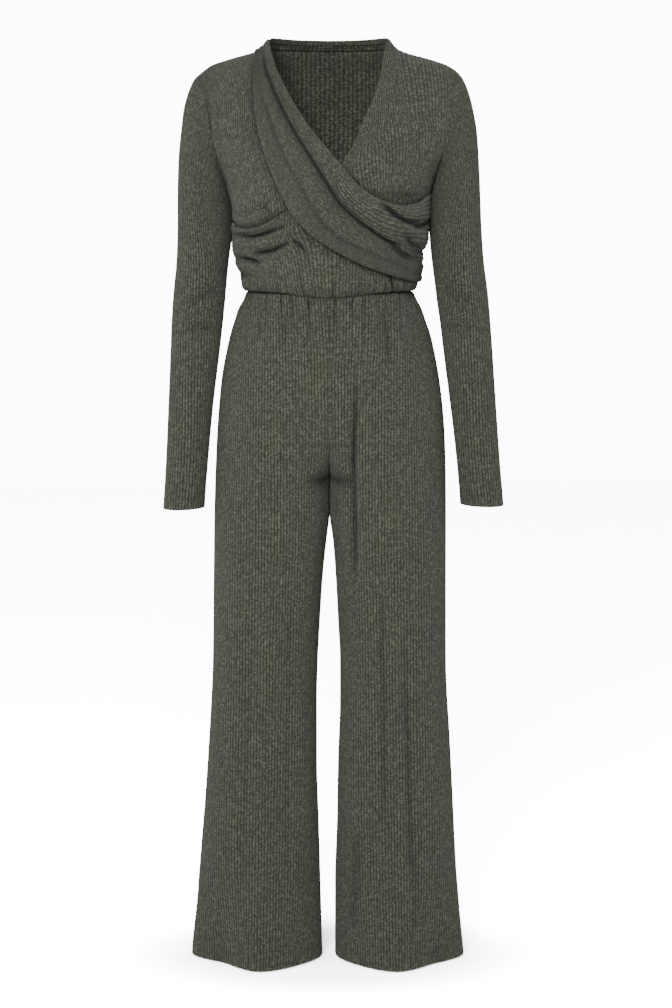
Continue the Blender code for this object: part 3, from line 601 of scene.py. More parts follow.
CUFF_RISE = {"right": 5.0, "left": 10.0}
SLEEVE_AXIS = 205.0
SLEEVE_FOLDS = [
    Fold(-1.8, 9, [(170, -330), (196, -352), (222, -356)]),
    Fold(1.5, 10, [(168, -352), (196, -376), (226, -380)]),
    Fold(-1.4, 9, [(174, -388), (198, -402), (222, -400)]),
    Fold(-1.8, 9, [(186, -150), (190, -200), (188, -262)]),
    Fold(1.2, 12, [(206, -110), (212, -220), (214, -330)]),
    Fold(-1.2, 10, [(222, -420), (232, -520), (238, -600)]),
]
# A soft dark line under the arm, as (x, height) points
UNDERARM_SHADE = [(168, -130), (158, -180), (152, -225), (154, -270), (158, -330)]


def armhole_ring(turn):
    """Points on the left armhole at a turn of 0 at the shoulder, 90 at the front, 180 below."""
    height = ARMPIT_HEIGHT / 2 * (1 - np.cos(np.radians(turn)))
    angle = angle_at(ARMHOLE.at(height, "reach"), height)
    angle = np.where(turn < 180, angle, 180 - angle)
    return body(np.where((turn == 0) | (turn == 180), 90.0, angle), height)


def sleeve_ring(turn, v, wearer_side):
    out_x, in_x = SLEEVE.at(v, "out_" + wearer_side), SLEEVE.at(v, "in_" + wearer_side)
    out_z, in_z = SLEEVE.at(v, "out_z"), SLEEVE.at(v, "in_z")
    cosine, sine = np.cos(np.radians(turn)), np.sin(np.radians(turn))
    rise = CUFF_RISE[wearer_side] * smooth((v - 0.6) / 0.4)
    depth = np.where(sine > 0, SLEEVE.at(v, "front"), SLEEVE.at(v, "back"))
    return point((out_x + in_x) / 2 + (out_x - in_x) / 2 * cosine,
                 SLEEVE.at(v, "shift") - depth * sine,
                 rise + (out_z + in_z) / 2 + (out_z - in_z) / 2 * cosine)


def sleeve_surface(wearer_side):
    """Sleeve rings, eased so that the first one is the armhole itself."""
    sign = -1 if wearer_side == "right" else 1
    turns = np.linspace(0, 360, 1441)
    change = armhole_ring(turns) - sleeve_ring(turns, np.zeros(turns.shape), wearer_side)
    change = change + point(ARMHOLE_GAP, 0.0, 0.0)

    def plain(a, b):
        b = np.clip(b, 0.0, 1.0)
        moved = np.stack([np.interp(a % 360, turns, part) for part in change.T], axis=-1)
        return sleeve_ring(a, b, wearer_side) + moved * (1 - smooth(b / 0.2))[..., None]

    def surface(u, v):
        turn = 180.1 + 359.8 * u
        base = plain(turn, v)
        middle = (plain(np.zeros(np.shape(v)), v) + plain(np.full(np.shape(v), 180.0), v)) / 2
        normal = outward(plain, turn, v, 4.0, 0.01, middle)
        shown = np.where(np.sin(np.radians(turn)) > 0, 1.0, 0.6) * smooth(v / 0.04)
        size = shown * folds_at(base[..., 0], base[..., 2], SLEEVE_FOLDS)
        return (base + normal * size[..., None]) * np.array((sign, 1.0, 1.0))

    return surface


# Trousers: rings from the waist to the hem; join is 1 where both legs share the hips and 0
# where they are apart
TROUSERS = Table("height out_right out_left front back join square", [
    (-341, 127.4, 127.4, 95, 87, 1, 0.04),
    (-352, 131.6, 133.9, 97, 90, 1, 0.04),
    (-367, 140, 141.1, 99, 94, 1, 0.04),
    (-385, 146.6, 148.3, 101, 98, 1, 0.04),
    (-405, 152.8, 155.3, 103, 102, 1, 0.04),
    (-430, 158.8, 161.5, 104, 107, 1, 0.04),
    (-472, 166.8, 169.5, 105, 113, 1, 0.04),
    (-522, 172, 176, 104, 116, 0.97, 0.04),
    (-560, 174.8, 178.9, 103, 116, 0.9, 0.04),
    (-590, 176.4, 180.3, 102, 115, 0.72, 0.04),
    (-610, 177.3, 180.9, 101, 113, 0.45, 0.04),
    (-622, 177.8, 181.1, 101, 112, 0.18, 0.04),
    (-632, 178.2, 181.3, 100, 111, 0, 0.04),
    (-690, 180, 181.9, 98, 105, 0, 0.04),
    (-761, 181.3, 182.2, 96, 100, 0, 0.04),
    (-920, 184, 183.2, 91, 92, 0, 0.04),
    (-1049, 191.2, 190.4, 86, 89, 0, 0.04),
    (-1146, 198.3, 195.8, 85, 88, 0, 0.04),
    (-1245, 207, 201.2, 84, 87, 0, 0),
    (-1310, 212.4, 206.5, 84, 86, 0, -0.04),
    (-1377, 219.8, 212.9, 88, 88, 0, -0.08),
    (HEM_HEIGHT, 221.2, 214.8, 90, 89, 0, -0.08),
])
INSEAM = Table("height right left", [
    (-341, -0.2, -0.2), (-686, -0.2, -0.2), (-696, 0.3, 0.3), (-708, 2.2, 2.2),
    (-729, 4.8, 5.3), (-792, 11.2, 10),
    (-856, 15.2, 13.2), (-920, 18.6, 16.3), (-984, 20.2, 16.3), (-1081, 20.2, 13.2),
    (-1179, 17.4, 11.6), (-1277, 14.8, 8.4), (HEM_HEIGHT, 11.8, 8.4),
])
# Shape of the legs, in mm: at the hem the front is flattened from the side seam to a turn of
# HEM_FLAT_TURN degrees, and below PRESSED_TOP the two legs press each other flat
LEG_AXIS = 95.0
HIP_SQUARE = 0.05
PRESSED_TOP = -480
WAIST_EASE = 90
BACK_FOLD_SHARE = 0.7
FORK_SPAN = 75
# Soft dark lines of the legs: (run, depth from 0 to 1, width in mm)
LEG_SHADES = {("left", "front"): [
    ([(39, -470), (38, -530), (36, -600), (37, -700), (39, -780)], 0.55, 3.0),
    ([(50, -352), (51, -400), (49, -460)], 0.35, 2.5),
    ([(79, -352), (85, -400), (91, -455)], 0.30, 3.0),
    ([(42, -1180), (40, -1260), (38, -1340)], 0.30, 7.0),
    ([(128, -1150), (132, -1250), (136, -1340)], 0.22, 6.0),
], ("right", "front"): [
    ([(-62, -350), (-66, -390), (-70, -430)], 0.22, 3.0),
]}
HIP_END = -400
THIGH_END = -720
HEM_FLAT = {"right": 0.36, "left": 0.27}
HEM_FLAT_TOP = -1200
HEM_FLAT_RUN = 190
HEM_FLAT_TURN, HEM_FLAT_SPREAD = 50, 45
TROUSER_FOLDS = [
    Fold(3.0, 8, [(54, -400), (53, -480), (54, -560)]),
    Fold(-5.0, 6, [(39, -490), (36, -600), (38, -720), (40, -800)]),
    Fold(-2.7, 8, [(78, -740), (80, -900), (84, -1060), (86, -1200)]),
    Fold(2.4, 10, [(96, -700), (100, -860), (106, -1020), (112, -1240)]),
    Fold(-2.7, 8, [(114, -860), (120, -1020), (126, -1180), (130, -1330)]),
    Fold(2.7, 9, [(60, -352), (66, -400), (70, -460)]),
    Fold(-3.0, 8, [(80, -350), (86, -400), (92, -450)]),
    Fold(2.7, 8, [(96, -350), (104, -400), (112, -450)]),
    Fold(-2.4, 7, [(-30, -350), (-31, -390), (-33, -420)]),
    Fold(-2.4, 7, [(-62, -348), (-66, -390), (-70, -430)]),
    Fold(-2.4, 7, [(-96, -346), (-106, -390), (-112, -420)]),
    Fold(-3.0, 10, [(-60, -700), (-62, -900), (-66, -1120), (-70, -1300)]),
    Fold(-2.4, 10, [(-120, -820), (-128, -1040), (-140, -1300)]),
    Fold(2.4, 12, [(-92, -700), (-98, -940), (-104, -1260)]),
]


def leg_base(turn, height, wearer_side):
    """Left-hand-side ring points: turn 0 at the side seam, 180 at the centre or inseam."""
    out = TROUSERS.at(height, "out_" + wearer_side)
    inner = INSEAM.at(height, wearer_side)
    middle, reach = (out + inner) / 2, (out - inner) / 2
    full = np.radians(turn)
    sine = np.sin(full)
    at_fork = smooth(1 - np.abs(turn - 180) / FORK_SPAN)
    hip = mix(smooth((height - THIGH_END) / (HIP_END - THIGH_END)),
              TROUSERS.at(height, "join"), at_fork)
    leg_round = 1 + TROUSERS.at(height, "square") * np.sin(2 * full) ** 2
    x = mix(middle + reach * np.cos(full) * leg_round, out * np.abs(np.cos(full / 2)), hip)
    x = np.minimum(np.maximum(x, -0.2), out)
    across = np.sqrt(np.maximum(1 - ((x - middle) / reach) ** 2, 0.0))
    leg_y = mix(leg_round * np.abs(sine), across, smooth(hip * 4))
    hip_y = np.sqrt(np.maximum(1 - (x / out) ** 2, 0.0)) * (1 + HIP_SQUARE * sine ** 2)
    depth = np.where(sine >= 0, TROUSERS.at(height, "front"), TROUSERS.at(height, "back"))
    flat = ((1 - smooth((turn - HEM_FLAT_TURN) / HEM_FLAT_SPREAD))
            * smooth((HEM_FLAT_TOP - height) / HEM_FLAT_RUN))
    depth = depth * mix(leg_y, hip_y, hip) * (1 - HEM_FLAT[wearer_side] * flat)
    return point(x, np.where(sine >= 0, -depth, depth), height)


def trouser_surface(wearer_side, face):
    sign = -1 if wearer_side == "right" else 1

    def place(turn, height):
        seam = waist_height(90 - turn / 2 if face == "front" else 180.0) - WAIST_HEIGHT
        sag = (seam - WAIST_GAP) * (1 - smooth((WAIST_HEIGHT - height) / WAIST_EASE))
        base = leg_base(turn, height, wearer_side)
        return base * np.array((sign, 1.0, 1.0)) + point(0.0, 0.0, sag)

    def surface(u, v):
        height = mix(HEM_HEIGHT, WAIST_HEIGHT, v)
        turn = mix(180 - LEG_SEAM_ANGLE, LEG_SEAM_ANGLE, u)
        if face == "back":
            turn = 360 - turn
        base = place(turn, height)
        normal = outward(place, turn, height, 2.0, 2.0, point(sign * 90.0, 0.0, height))
        facing = 1.0 if face == "front" else -1.0
        size = folds_at(facing * base[..., 0], base[..., 2], TROUSER_FOLDS)
        size = size * (1.0 if face == "front" else BACK_FOLD_SHARE)
        return base + normal * size[..., None]

    return surface


def crease_line(fine, points):
    """Where a trouser panel's middle line lies across it, at each row."""
    reach = np.interp(points[0, :, 2], (HEM_HEIGHT, -700.0), (104.0, 93.0))
    return [np.interp(-x, -np.abs(points[:, row, 0]), fine) if points[0, row, 0] ** 2
            > points[-1, row, 0] ** 2 else np.interp(x, np.abs(points[:, row, 0]), fine)
            for row, x in enumerate(reach)]


def where_legs_touch(points):
    """1 where the two legs lie against each other below the fork, 0 away from there."""
    near = 1 - smooth((np.abs(points[..., 0]) - 0.6) / 4)
    return near * smooth((PRESSED_TOP - points[..., 2]) / 50)


# Panels as meshes

# Hidden edges, as rows of (way out along the cloth, way in through it) in mm: tucked under
# the next panel, or turned in over it
TUCKED_EDGE = ((0.3, 1.4), (3.5, 1.9))
TURNED_IN_EDGE = ((0.6, 1.4), (3.0, 4.4))
ROLLED_EDGE = 0.8
SEAM_SPREAD = 1.9
SEAM_SHADE, SEAM_SHADE_WIDTH = 0.8, 1.5
JOIN_SHADE, JOIN_SHADE_WIDTH = 0.3, 1.2
CREASE_REACHES = ((0, 5.0), (0, 9.0), (1, 5.0), (1, 8.0))
CREASE_START = 0.3
CREASE_FULL = 0.45

def rows_between(start, end, step, near=(), far=()):
    """Places from start to end, about step apart, with closer ones near either end."""
    count = max(int(round(abs(end - start) / step)), 1)
    places = set(np.linspace(start, end, count + 1).tolist())
    way = 1 if end > start else -1
    places |= {start + way * gap for gap in near} | {end - way * gap for gap in far}
    return np.array(sorted(places, reverse=way < 0))


def grid_normals(points, axis_x):
    """Unit normals of a grid of points that goes round the upright line at axis_x, and whether
    they had to be turned to face out."""
    normal = unit(np.cross(np.gradient(points, axis=0), np.gradient(points, axis=1)))
    away = points - np.array((axis_x, 0.0, 0.0))
    inwards = (normal[..., :2] * away[..., :2]).sum() < 0
    return (-normal if inwards else normal), inwards


def run_lengths(points, axis):
    """Length of cloth from the first row or column of a grid to each point."""
    steps = np.linalg.norm(np.diff(points, axis=axis), axis=-1)
    zero = np.zeros_like(np.take(steps, [0], axis=axis))
    return np.concatenate([zero, np.cumsum(steps, axis=axis)], axis=axis)


def even_places(surface, rows, rib_width, middle):
    """Where ribs of one width, side by side from the panel's middle line, fall across it at
    each row: their places u, and their numbers. A rib that meets a seam ends there. middle
    gives the middle line's u from the rows and a fine grid of the surface."""
    fine = np.linspace(0.0, 1.0, FINE_STEPS)
    points = surface(*np.meshgrid(fine, rows, indexing="ij"))
    wide = run_lengths(points, 0)
    start = np.array([np.interp(u, fine, wide[:, row])
                      for row, u in enumerate(middle(fine, points))])
    step = rib_width / COLUMNS_PER_RIB
    left = math.ceil(start.max() / step)
    right = math.ceil((wide[-1] - start).max() / step)
    out = np.arange(-left, right + 1)[:, None] * step
    out = np.clip(out, -start, wide[-1] - start)
    places = np.stack([np.interp(out[:, row] + start[row], wide[:, row], fine)
                       for row in range(len(rows))], axis=1)
    return places, out / rib_width


def rib_relief(rib):
    """Height of the knit for a rib number: -1 in the groove, a little over 0 on the rib."""
    off = np.abs(rib - np.rint(rib))
    return np.interp(off, (0.0, 0.25, 0.5), (-1.0, 0.0, 0.25))


def creases(points, normal):
    """How far each point lies down in a fold, from 0 to 1, against the cloth either side, as the
    painted shade of the folds. Each of CREASE_REACHES is an axis of the grid and how far to
    look along it, in mm."""
    deep = np.zeros(points.shape[:2])
    for axis, reach in CREASE_REACHES:
        step = np.median(np.linalg.norm(np.diff(points, axis=axis), axis=-1))
        count = points.shape[axis]
        away = max(int(round(reach / step)), 1)
        sides = [np.take(points, np.clip(np.arange(count) + way, 0, count - 1), axis=axis)
                 for way in (-away, away)]
        height = ((sum(sides) / 2 - points) * normal).sum(-1)
        deep = np.maximum(deep, (height - CREASE_START) / (CREASE_FULL * reach))
    return np.clip(deep, 0.0, 1.0)


def edge_strip(points, normal, edge, depths):
    """Rows past an edge of a grid, each (way out along the cloth, way in through it) in mm."""
    axis = 0 if edge in "lr" else 1
    lines = np.moveaxis(points, axis, 0)[:: 1 if edge in "lb" else -1]
    last = lines[0]
    apart = (np.linalg.norm(lines - last, axis=-1) > 0.1).argmax(axis=0)
    before = np.take_along_axis(lines, apart[None, :, None], axis=0)[0]
    inner = np.take(normal, 0 if edge in "lb" else -1, axis=axis)
    out = last - before
    out = unit(out - inner * (out * inner).sum(-1, keepdims=True))
    return [last + out * way - inner * deep for way, deep in depths]


def knit_panel(name, surface, ribs, rows, look, axis_x=0.0, seams="", joins="", turned="",
               tucked="", turned_in="", gather=(), turn_depth=9.0, middle=None, pressed=None,
               shaded=(), groove_painted_shade=0.0):
    """A knitted panel with its ribs raised. surface(u, v) takes u across the ribs and v along
    them, both from 0 to 1. ribs is their number, or their width in mm where middle gives the
    line that they run beside. seams, joins (seams that hardly show), turned, tucked
    and turned_in (over the edge of the next panel) name edges: l and r across, b and t along.
    gather holds (edge, height in mm, length in mm, seed) for cloth drawn up there.
    pressed gives, from the points, how far from 0 to 1 the relief is pressed flat. shaded
    holds runs of painted shade, each (run of (x, height), depth from 0 to 1, width in mm), along
    folds and along the edges of other layers that lie on this one. lined is how much painted
    shade darkens the grooves between the ribs."""
    fine = np.linspace(0.0, 1.0, FINE_STEPS)
    if middle:
        u, rib = even_places(surface, rows, ribs, middle)
    else:
        u = np.linspace(0.0, 1.0, ribs * COLUMNS_PER_RIB + 1)[:, None] * np.ones(len(rows))
        rib = u * ribs
    points = surface(u, rows[None] * np.ones_like(u))
    whole = surface(*np.meshgrid(fine, rows, indexing="ij"))
    normals, inwards = grid_normals(whole, axis_x)
    widths = run_lengths(whole, 0)
    pick = range(len(rows))
    normal = unit(np.stack([np.stack([np.interp(u[:, row], fine, normals[:, row, axis])
                                      for row in pick], axis=1) for axis in range(3)], axis=-1))
    wide = np.stack([np.interp(u[:, row], fine, widths[:, row]) for row in pick], axis=1)
    long = run_lengths(points, 1)
    far = {"l": wide, "r": widths[-1] - wide, "b": long, "t": long[:, -1:] - long}

    # Painted shade, from 0 to 1: the bottoms of folds and the grooves between the ribs, then runs
    # of painted shade along folds and beside the edges of other layers
    painted_shade = np.maximum(creases(points, normal), groove_painted_shade * np.clip(-rib_relief(rib), 0.0, 1.0))
    for run, depth, width in shaded:
        gap, along = distance_to_run(points[..., 0], points[..., 2], run)
        ends = smooth(along / 0.08) * smooth((1 - along) / 0.08)
        painted_shade = np.maximum(painted_shade, ends * depth * np.exp(-(gap / width) ** 2))
    rise = look.rib_depth / MM * rib_relief(rib)
    for edge in seams:
        shade = SEAM_SHADE * np.exp(-(far[edge] / SEAM_SHADE_WIDTH) ** 2)
        painted_shade = np.maximum(painted_shade, shade)
        pucker = 1 + 0.35 * sines(wide if edge in "bt" else long, (7.3, 11.9), 1.3)
        rise = rise - look.seam_dip / MM * pucker * np.exp(-(far[edge] / SEAM_SPREAD) ** 2)
    for edge in joins:
        shade = JOIN_SHADE * np.exp(-(far[edge] / JOIN_SHADE_WIDTH) ** 2)
        painted_shade = np.maximum(painted_shade, shade)
    for edge, height, length, seed in gather:
        ripple = sines(rib * 4.8, (8.9, 13.7, 21.3), seed)
        fade = smooth(far[edge] / 2.5) * np.exp(-(far[edge] / length) ** 1.5)
        rise = rise + height * ripple * fade
        # Painted shade in the troughs of the gathers
        painted_shade = np.maximum(painted_shade, np.clip(-0.55 * ripple * fade, 0.0, 1.0))
    if pressed:
        rise = rise * (1 - pressed(points))
        painted_shade = painted_shade * (1 - pressed(points))
    points = points + normal * rise[..., None]

    sheet = Sheet(points, rib, long, painted_shade)
    inner = look.wall / MM * 2 + 0.4
    for edge in "btlr":
        if edge in turned:
            sheet.grow(edge, edge_strip(points, normal, edge, [(ROLLED_EDGE, inner / 2)]))
            sheet.turn_back(edge, points - normal * inner, far[edge] <= turn_depth)
        elif edge in tucked:
            sheet.grow(edge, edge_strip(points, normal, edge, TUCKED_EDGE))
        elif edge in turned_in:
            sheet.grow(edge, edge_strip(points, normal, edge, TURNED_IN_EDGE))
    return knit_object(name, sheet, inwards, look)


class Sheet:
    """Grid of points with its map, which grows past its edges."""

    def __init__(self, points, rib, course, painted_shade):
        self.grids = {"points": points, "rib": rib, "course": course, "painted_shade": painted_shade}
        self.plain = dict(self.grids)
        self.before = [0, 0]
        self.after = [0, 0]

    def padded(self, strip, axis):
        """Lengthen a strip along the other axis to match rows that were added there."""
        other = 1 - axis
        width = [(0, 0)] * strip.ndim
        width[other] = (self.before[other], self.after[other])
        return np.pad(strip, width, mode="edge")

    def add(self, edge, strips):
        axis = 0 if edge in "lr" else 1
        for name, strip in strips.items():
            strip = self.padded(strip, axis)
            order = (strip, self.grids[name]) if edge in "lb" else (self.grids[name], strip)
            self.grids[name] = np.concatenate(order, axis=axis)
        count = strips["rib"].shape[axis]
        (self.before if edge in "lb" else self.after)[axis] += count

    def grow(self, edge, rows):
        axis = 0 if edge in "lr" else 1
        for row in rows:
            strips = {"points": np.expand_dims(row, axis)}
            for name in ("rib", "course", "painted_shade"):
                strips[name] = np.take(self.plain[name], [0 if edge in "lb" else -1], axis=axis)
            strips["painted_shade"] = strips["painted_shade"] * 0.4
            self.add(edge, strips)

    def turn_back(self, edge, under, near):
        """Lay the cloth back under itself as far as near is true."""
        axis = 0 if edge in "lr" else 1
        share = near.mean(axis=1 - axis) > 0.5
        share[0 if edge in "lb" else -1] = False
        picked = np.flatnonzero(share)[::-1]
        grids = dict(self.plain, points=under)
        strips = {name: np.take(grid, picked, axis=axis) for name, grid in grids.items()}
        for name, moving in (("rib", 0), ("course", 1)):
            if moving == axis:
                rim = np.take(self.plain[name], [0 if edge in "lb" else -1], axis=axis)
                strips[name] = 2 * rim - strips[name]
        self.add(edge, strips)


def knit_object(name, sheet, inwards, look):
    """Lay a flat bmesh grid on the points of a sheet, map it by rib and course, and give it
    the thickness of the cloth."""
    points = sheet.grids["points"]
    columns, rows = points.shape[:2]
    mesh = bmesh.new()
    bmesh.ops.create_grid(mesh, x_segments=columns - 1, y_segments=rows - 1, size=0.5)
    data = bpy.data.meshes.new(name)
    mesh.to_mesh(data)
    flat = np.zeros((len(data.vertices), 3), np.float32)
    data.vertices.foreach_get("co", flat.ravel())
    place = tuple(np.rint((flat[:, axis] + 0.5) * (count - 1)).astype(int)
                  for axis, count in ((0, columns), (1, rows)))
    data.vertices.foreach_set("co", (points[place] * MM).astype(np.float32).ravel())
    corners = np.zeros(len(data.loops), np.int32)
    data.loops.foreach_get("vertex_index", corners)
    knit = np.stack([sheet.grids["rib"][place], sheet.grids["course"][place] * MM], axis=-1)
    layer = data.uv_layers.new(name=KNIT_MAP)
    layer.data.foreach_set("uv", knit[corners].astype(np.float32).ravel())
    # The painted shade is kept as a point attribute for the colour
    painted_shade = data.attributes.new(PAINTED_SHADE_MAP, "FLOAT", "POINT")
    painted_shade.data.foreach_set("value", sheet.grids["painted_shade"][place].astype(np.float32))
    mesh.clear()
    mesh.from_mesh(data)
    bmesh.ops.remove_doubles(mesh, verts=mesh.verts, dist=0.004 * MM)
    if inwards:
        bmesh.ops.reverse_faces(mesh, faces=mesh.faces[:])
    mesh.to_mesh(data)
    mesh.free()
    data.shade_smooth()
    item = bpy.data.objects.new(name, data)
    bpy.context.scene.collection.objects.link(item)
    shell = item.modifiers.new("wall", "SOLIDIFY")
    shell.thickness = look.wall
    shell.offset = -1.0
    return item


# Materials

def new_group(name, inputs, outputs):
    group = bpy.data.node_groups.new(name, "ShaderNodeTree")
    for way, sockets in (("INPUT", inputs), ("OUTPUT", outputs)):
        for title, kind, value in sockets:
            socket = group.interface.new_socket(name=title, in_out=way, socket_type=kind)
            if value is not None:
                socket.default_value = value
    nodes = group.nodes
    return group, nodes, group.links, nodes.new("NodeGroupInput"), nodes.new("NodeGroupOutput")


def maths(tree, operation, first, second=None, third=None):
    """A Math node fed with sockets or numbers; gives its output."""
    node = tree.nodes.new("ShaderNodeMath")
    node.operation = operation
    for slot, value in zip(node.inputs, (first, second, third)):
        if isinstance(value, (int, float)):
            slot.default_value = value
        elif value is not None:
            tree.links.new(value, slot)
    return node.outputs[0]


def ramp_between(tree, value, low, high, start=0.0, end=1.0):
    """A Map Range node: a smooth step of value from low to high, as start to end."""
    node = tree.nodes.new("ShaderNodeMapRange")
    node.interpolation_type = "SMOOTHSTEP"
    tree.links.new(value, node.inputs["Value"])
    for title, number in (("From Min", low), ("From Max", high), ("To Min", start),
                          ("To Max", end)):
        node.inputs[title].default_value = number
    return node.outputs["Result"]


def blend_colours(tree, share, first, second):
    """A Mix node for colours; share, first and second are sockets, numbers or colours."""
    node = tree.nodes.new("ShaderNodeMix")
    node.data_type = "RGBA"
    for slot, value in ((node.inputs[0], share), (node.inputs[6], first),
                        (node.inputs[7], second)):
        if isinstance(value, bpy.types.NodeSocket):
            tree.links.new(value, slot)
        else:
            slot.default_value = value
    return node.outputs[2]


def noise(tree, vector, scale, detail=2.0, roughness=0.5):
    node = tree.nodes.new("ShaderNodeTexNoise")
    node.inputs["Scale"].default_value = scale
    node.inputs["Detail"].default_value = detail
    node.inputs["Roughness"].default_value = roughness
    tree.links.new(vector, node.inputs["Vector"])
    return node.outputs["Fac"]


def bump(tree, height, strength, distance):
    """Raise the shader's normal by a height."""
    node = tree.nodes.new("ShaderNodeBump")
    node.inputs["Strength"].default_value = strength
    node.inputs["Distance"].default_value = distance
    tree.links.new(height, node.inputs["Height"])
    tree.links.new(node.outputs["Normal"], tree.nodes["Principled BSDF"].inputs["Normal"])


def knit_relief_group():
    """Ribs and their rows of V-shaped loops, from a map of rib number and course."""
    group, nodes, links, start, end = new_group(
        "rib_knit_relief",
        [("Knit", "NodeSocketVector", None), ("Course Length", "NodeSocketFloat", 0.0019)],
        [("Height", "NodeSocketFloat", None), ("Groove", "NodeSocketFloat", None),
         ("Loop", "NodeSocketFloat", None)])
    split = nodes.new("ShaderNodeSeparateXYZ")
    links.new(start.outputs["Knit"], split.inputs[0])
    part = maths(group, "FRACT", split.outputs["X"])
    off = maths(group, "ABSOLUTE", maths(group, "SUBTRACT", part, 0.5))
    groove = ramp_between(group, off, 0.2, 0.46)
    course = maths(group, "DIVIDE", split.outputs["Y"], start.outputs["Course Length"])
    slant = maths(group, "MULTIPLY_ADD", off, 2.2, course)
    loop = maths(group, "PINGPONG", slant, 0.5)
    loop = ramp_between(group, loop, 0.02, 0.4)
    crown = maths(group, "SUBTRACT", 1.0, groove)
    height = maths(group, "MULTIPLY_ADD", loop, 0.35, crown)
    links.new(height, end.inputs["Height"])
    links.new(groove, end.inputs["Groove"])
    links.new(loop, end.inputs["Loop"])
    return group


def heather_group():
    """Yarn spun of two greens: broad drifts of one or the other, and loops of light and dark
    fibres among them."""
    group, nodes, links, start, end = new_group(
        "heather_yarn",
        [("Knit", "NodeSocketVector", None), ("Place", "NodeSocketVector", None),
         ("Loop Size", "NodeSocketVector", (0.5, 0.0018, 1.0)),
         ("Fleck Strength", "NodeSocketFloat", 0.5)],
        [("Drift", "NodeSocketFloat", None), ("Light Fleck", "NodeSocketFloat", None),
         ("Dark Fleck", "NodeSocketFloat", None), ("Fuzz", "NodeSocketFloat", None)])

    def stretched(scale, source):
        node = nodes.new("ShaderNodeMapping")
        node.inputs["Scale"].default_value = scale
        links.new(source, node.inputs["Vector"])
        return node.outputs["Vector"]

    broad = noise(group, stretched((30, 30, 11), start.outputs["Place"]), 1.0, 4.0, 0.6)
    drift = ramp_between(group, broad, 0.38, 0.62)
    cell = nodes.new("ShaderNodeVectorMath")
    cell.operation = "SNAP"
    links.new(start.outputs["Knit"], cell.inputs[0])
    links.new(start.outputs["Loop Size"], cell.inputs[1])
    loop = nodes.new("ShaderNodeTexWhiteNoise")
    loop.noise_dimensions = "2D"
    links.new(cell.outputs[0], loop.inputs["Vector"])
    cluster = noise(group, stretched((0.8, 150, 1), start.outputs["Knit"]), 1.0, 2.0, 0.6)
    value = maths(group, "MULTIPLY_ADD", cluster, 1.1, loop.outputs["Value"])
    light = ramp_between(group, value, 1.05, 1.5)
    dark = ramp_between(group, value, 0.95, 0.55)
    strength = start.outputs["Fleck Strength"]
    links.new(drift, end.inputs["Drift"])
    links.new(maths(group, "MULTIPLY", light, strength), end.inputs["Light Fleck"])
    links.new(maths(group, "MULTIPLY", dark, strength), end.inputs["Dark Fleck"])
    links.new(noise(group, stretched((1500, 1500, 1500), start.outputs["Place"]), 1.0),
              end.inputs["Fuzz"])
    return group


def new_material(name):
    material = bpy.data.materials.new(name)
    material.use_nodes = True
    return material, material.node_tree, material.node_tree.nodes, material.node_tree.links


def shared_group(name, make):
    return bpy.data.node_groups.get(name) or make()


def knit_material(name, look, painted_shade_scale=1.0):
    """Matt heather rib knit for a panel that carries the rib and course map, with painted shade in
    the grooves between the ribs and wherever the panel's painted-shade attribute says.
    """
    if name in bpy.data.materials:
        return bpy.data.materials[name]
    material, tree, nodes, links = new_material(name)
    shader = nodes["Principled BSDF"]
    shader.inputs["Sheen Weight"].default_value = 0.18
    shader.inputs["Sheen Roughness"].default_value = 0.6
    shader.inputs["Specular IOR Level"].default_value = 0.18
    knit_map = nodes.new("ShaderNodeUVMap")
    knit_map.uv_map = KNIT_MAP
    place = nodes.new("ShaderNodeTexCoord")

    relief = nodes.new("ShaderNodeGroup")
    relief.node_tree = shared_group("rib_knit_relief", knit_relief_group)
    relief.inputs["Course Length"].default_value = look.course_length
    yarn = nodes.new("ShaderNodeGroup")
    yarn.node_tree = shared_group("heather_yarn", heather_group)
    yarn.inputs["Fleck Strength"].default_value = look.fleck_strength
    links.new(knit_map.outputs["UV"], relief.inputs["Knit"])
    links.new(knit_map.outputs["UV"], yarn.inputs["Knit"])
    links.new(place.outputs["Object"], yarn.inputs["Place"])

    def paint(colour):
        return (*[part * painted_shade_scale for part in colour], 1.0)

    colour = blend_colours(tree, yarn.outputs["Drift"], paint(look.grey_green),
                           paint(look.olive))
    colour = blend_colours(tree, yarn.outputs["Light Fleck"], colour,
                           paint(look.light_fleck))
    colour = blend_colours(tree, yarn.outputs["Dark Fleck"], colour,
                           paint(look.dark_fleck))
    # Painted shade in the grooves between the ribs
    shade = maths(tree, "MULTIPLY", relief.outputs["Groove"], look.groove_shade)
    colour = blend_colours(tree, shade, colour, paint(look.dark_fleck))
    # Painted shade from the panel's attribute: folds, seams, gathers and the edges of layers above
    fold = nodes.new("ShaderNodeAttribute")
    fold.attribute_name = PAINTED_SHADE_MAP
    shade = maths(tree, "MULTIPLY", fold.outputs["Fac"], look.crease_shade)
    colour = blend_colours(tree, shade, colour, paint([part * 0.4 for part in
                                                               look.dark_fleck]))
    links.new(colour, shader.inputs["Base Color"])
    rough = ramp_between(tree, relief.outputs["Loop"], 0.0, 1.0, 0.96, 0.84)
    links.new(rough, shader.inputs["Roughness"])
    height = maths(tree, "MULTIPLY_ADD", yarn.outputs["Fuzz"], 0.5,
                   relief.outputs["Height"])
    bump(tree, height, 0.55, look.loop_depth)
    return material


def join_by_sight(tree, lighting, shown, output):
    """One shader for the light that a surface gives to the cloth, another for how it shows."""
    path, join = tree.nodes.new("ShaderNodeLightPath"), tree.nodes.new("ShaderNodeMixShader")
    sockets = (path.outputs["Is Camera Ray"], lighting, shown)
    for value, slot in zip(sockets, join.inputs):
        tree.links.new(value, slot)
    tree.links.new(join.outputs[0], output)


# Half the size of the patch of painted shadow on the floor round the hems, in metres
FOOT_SHADE = (0.34, 0.20)


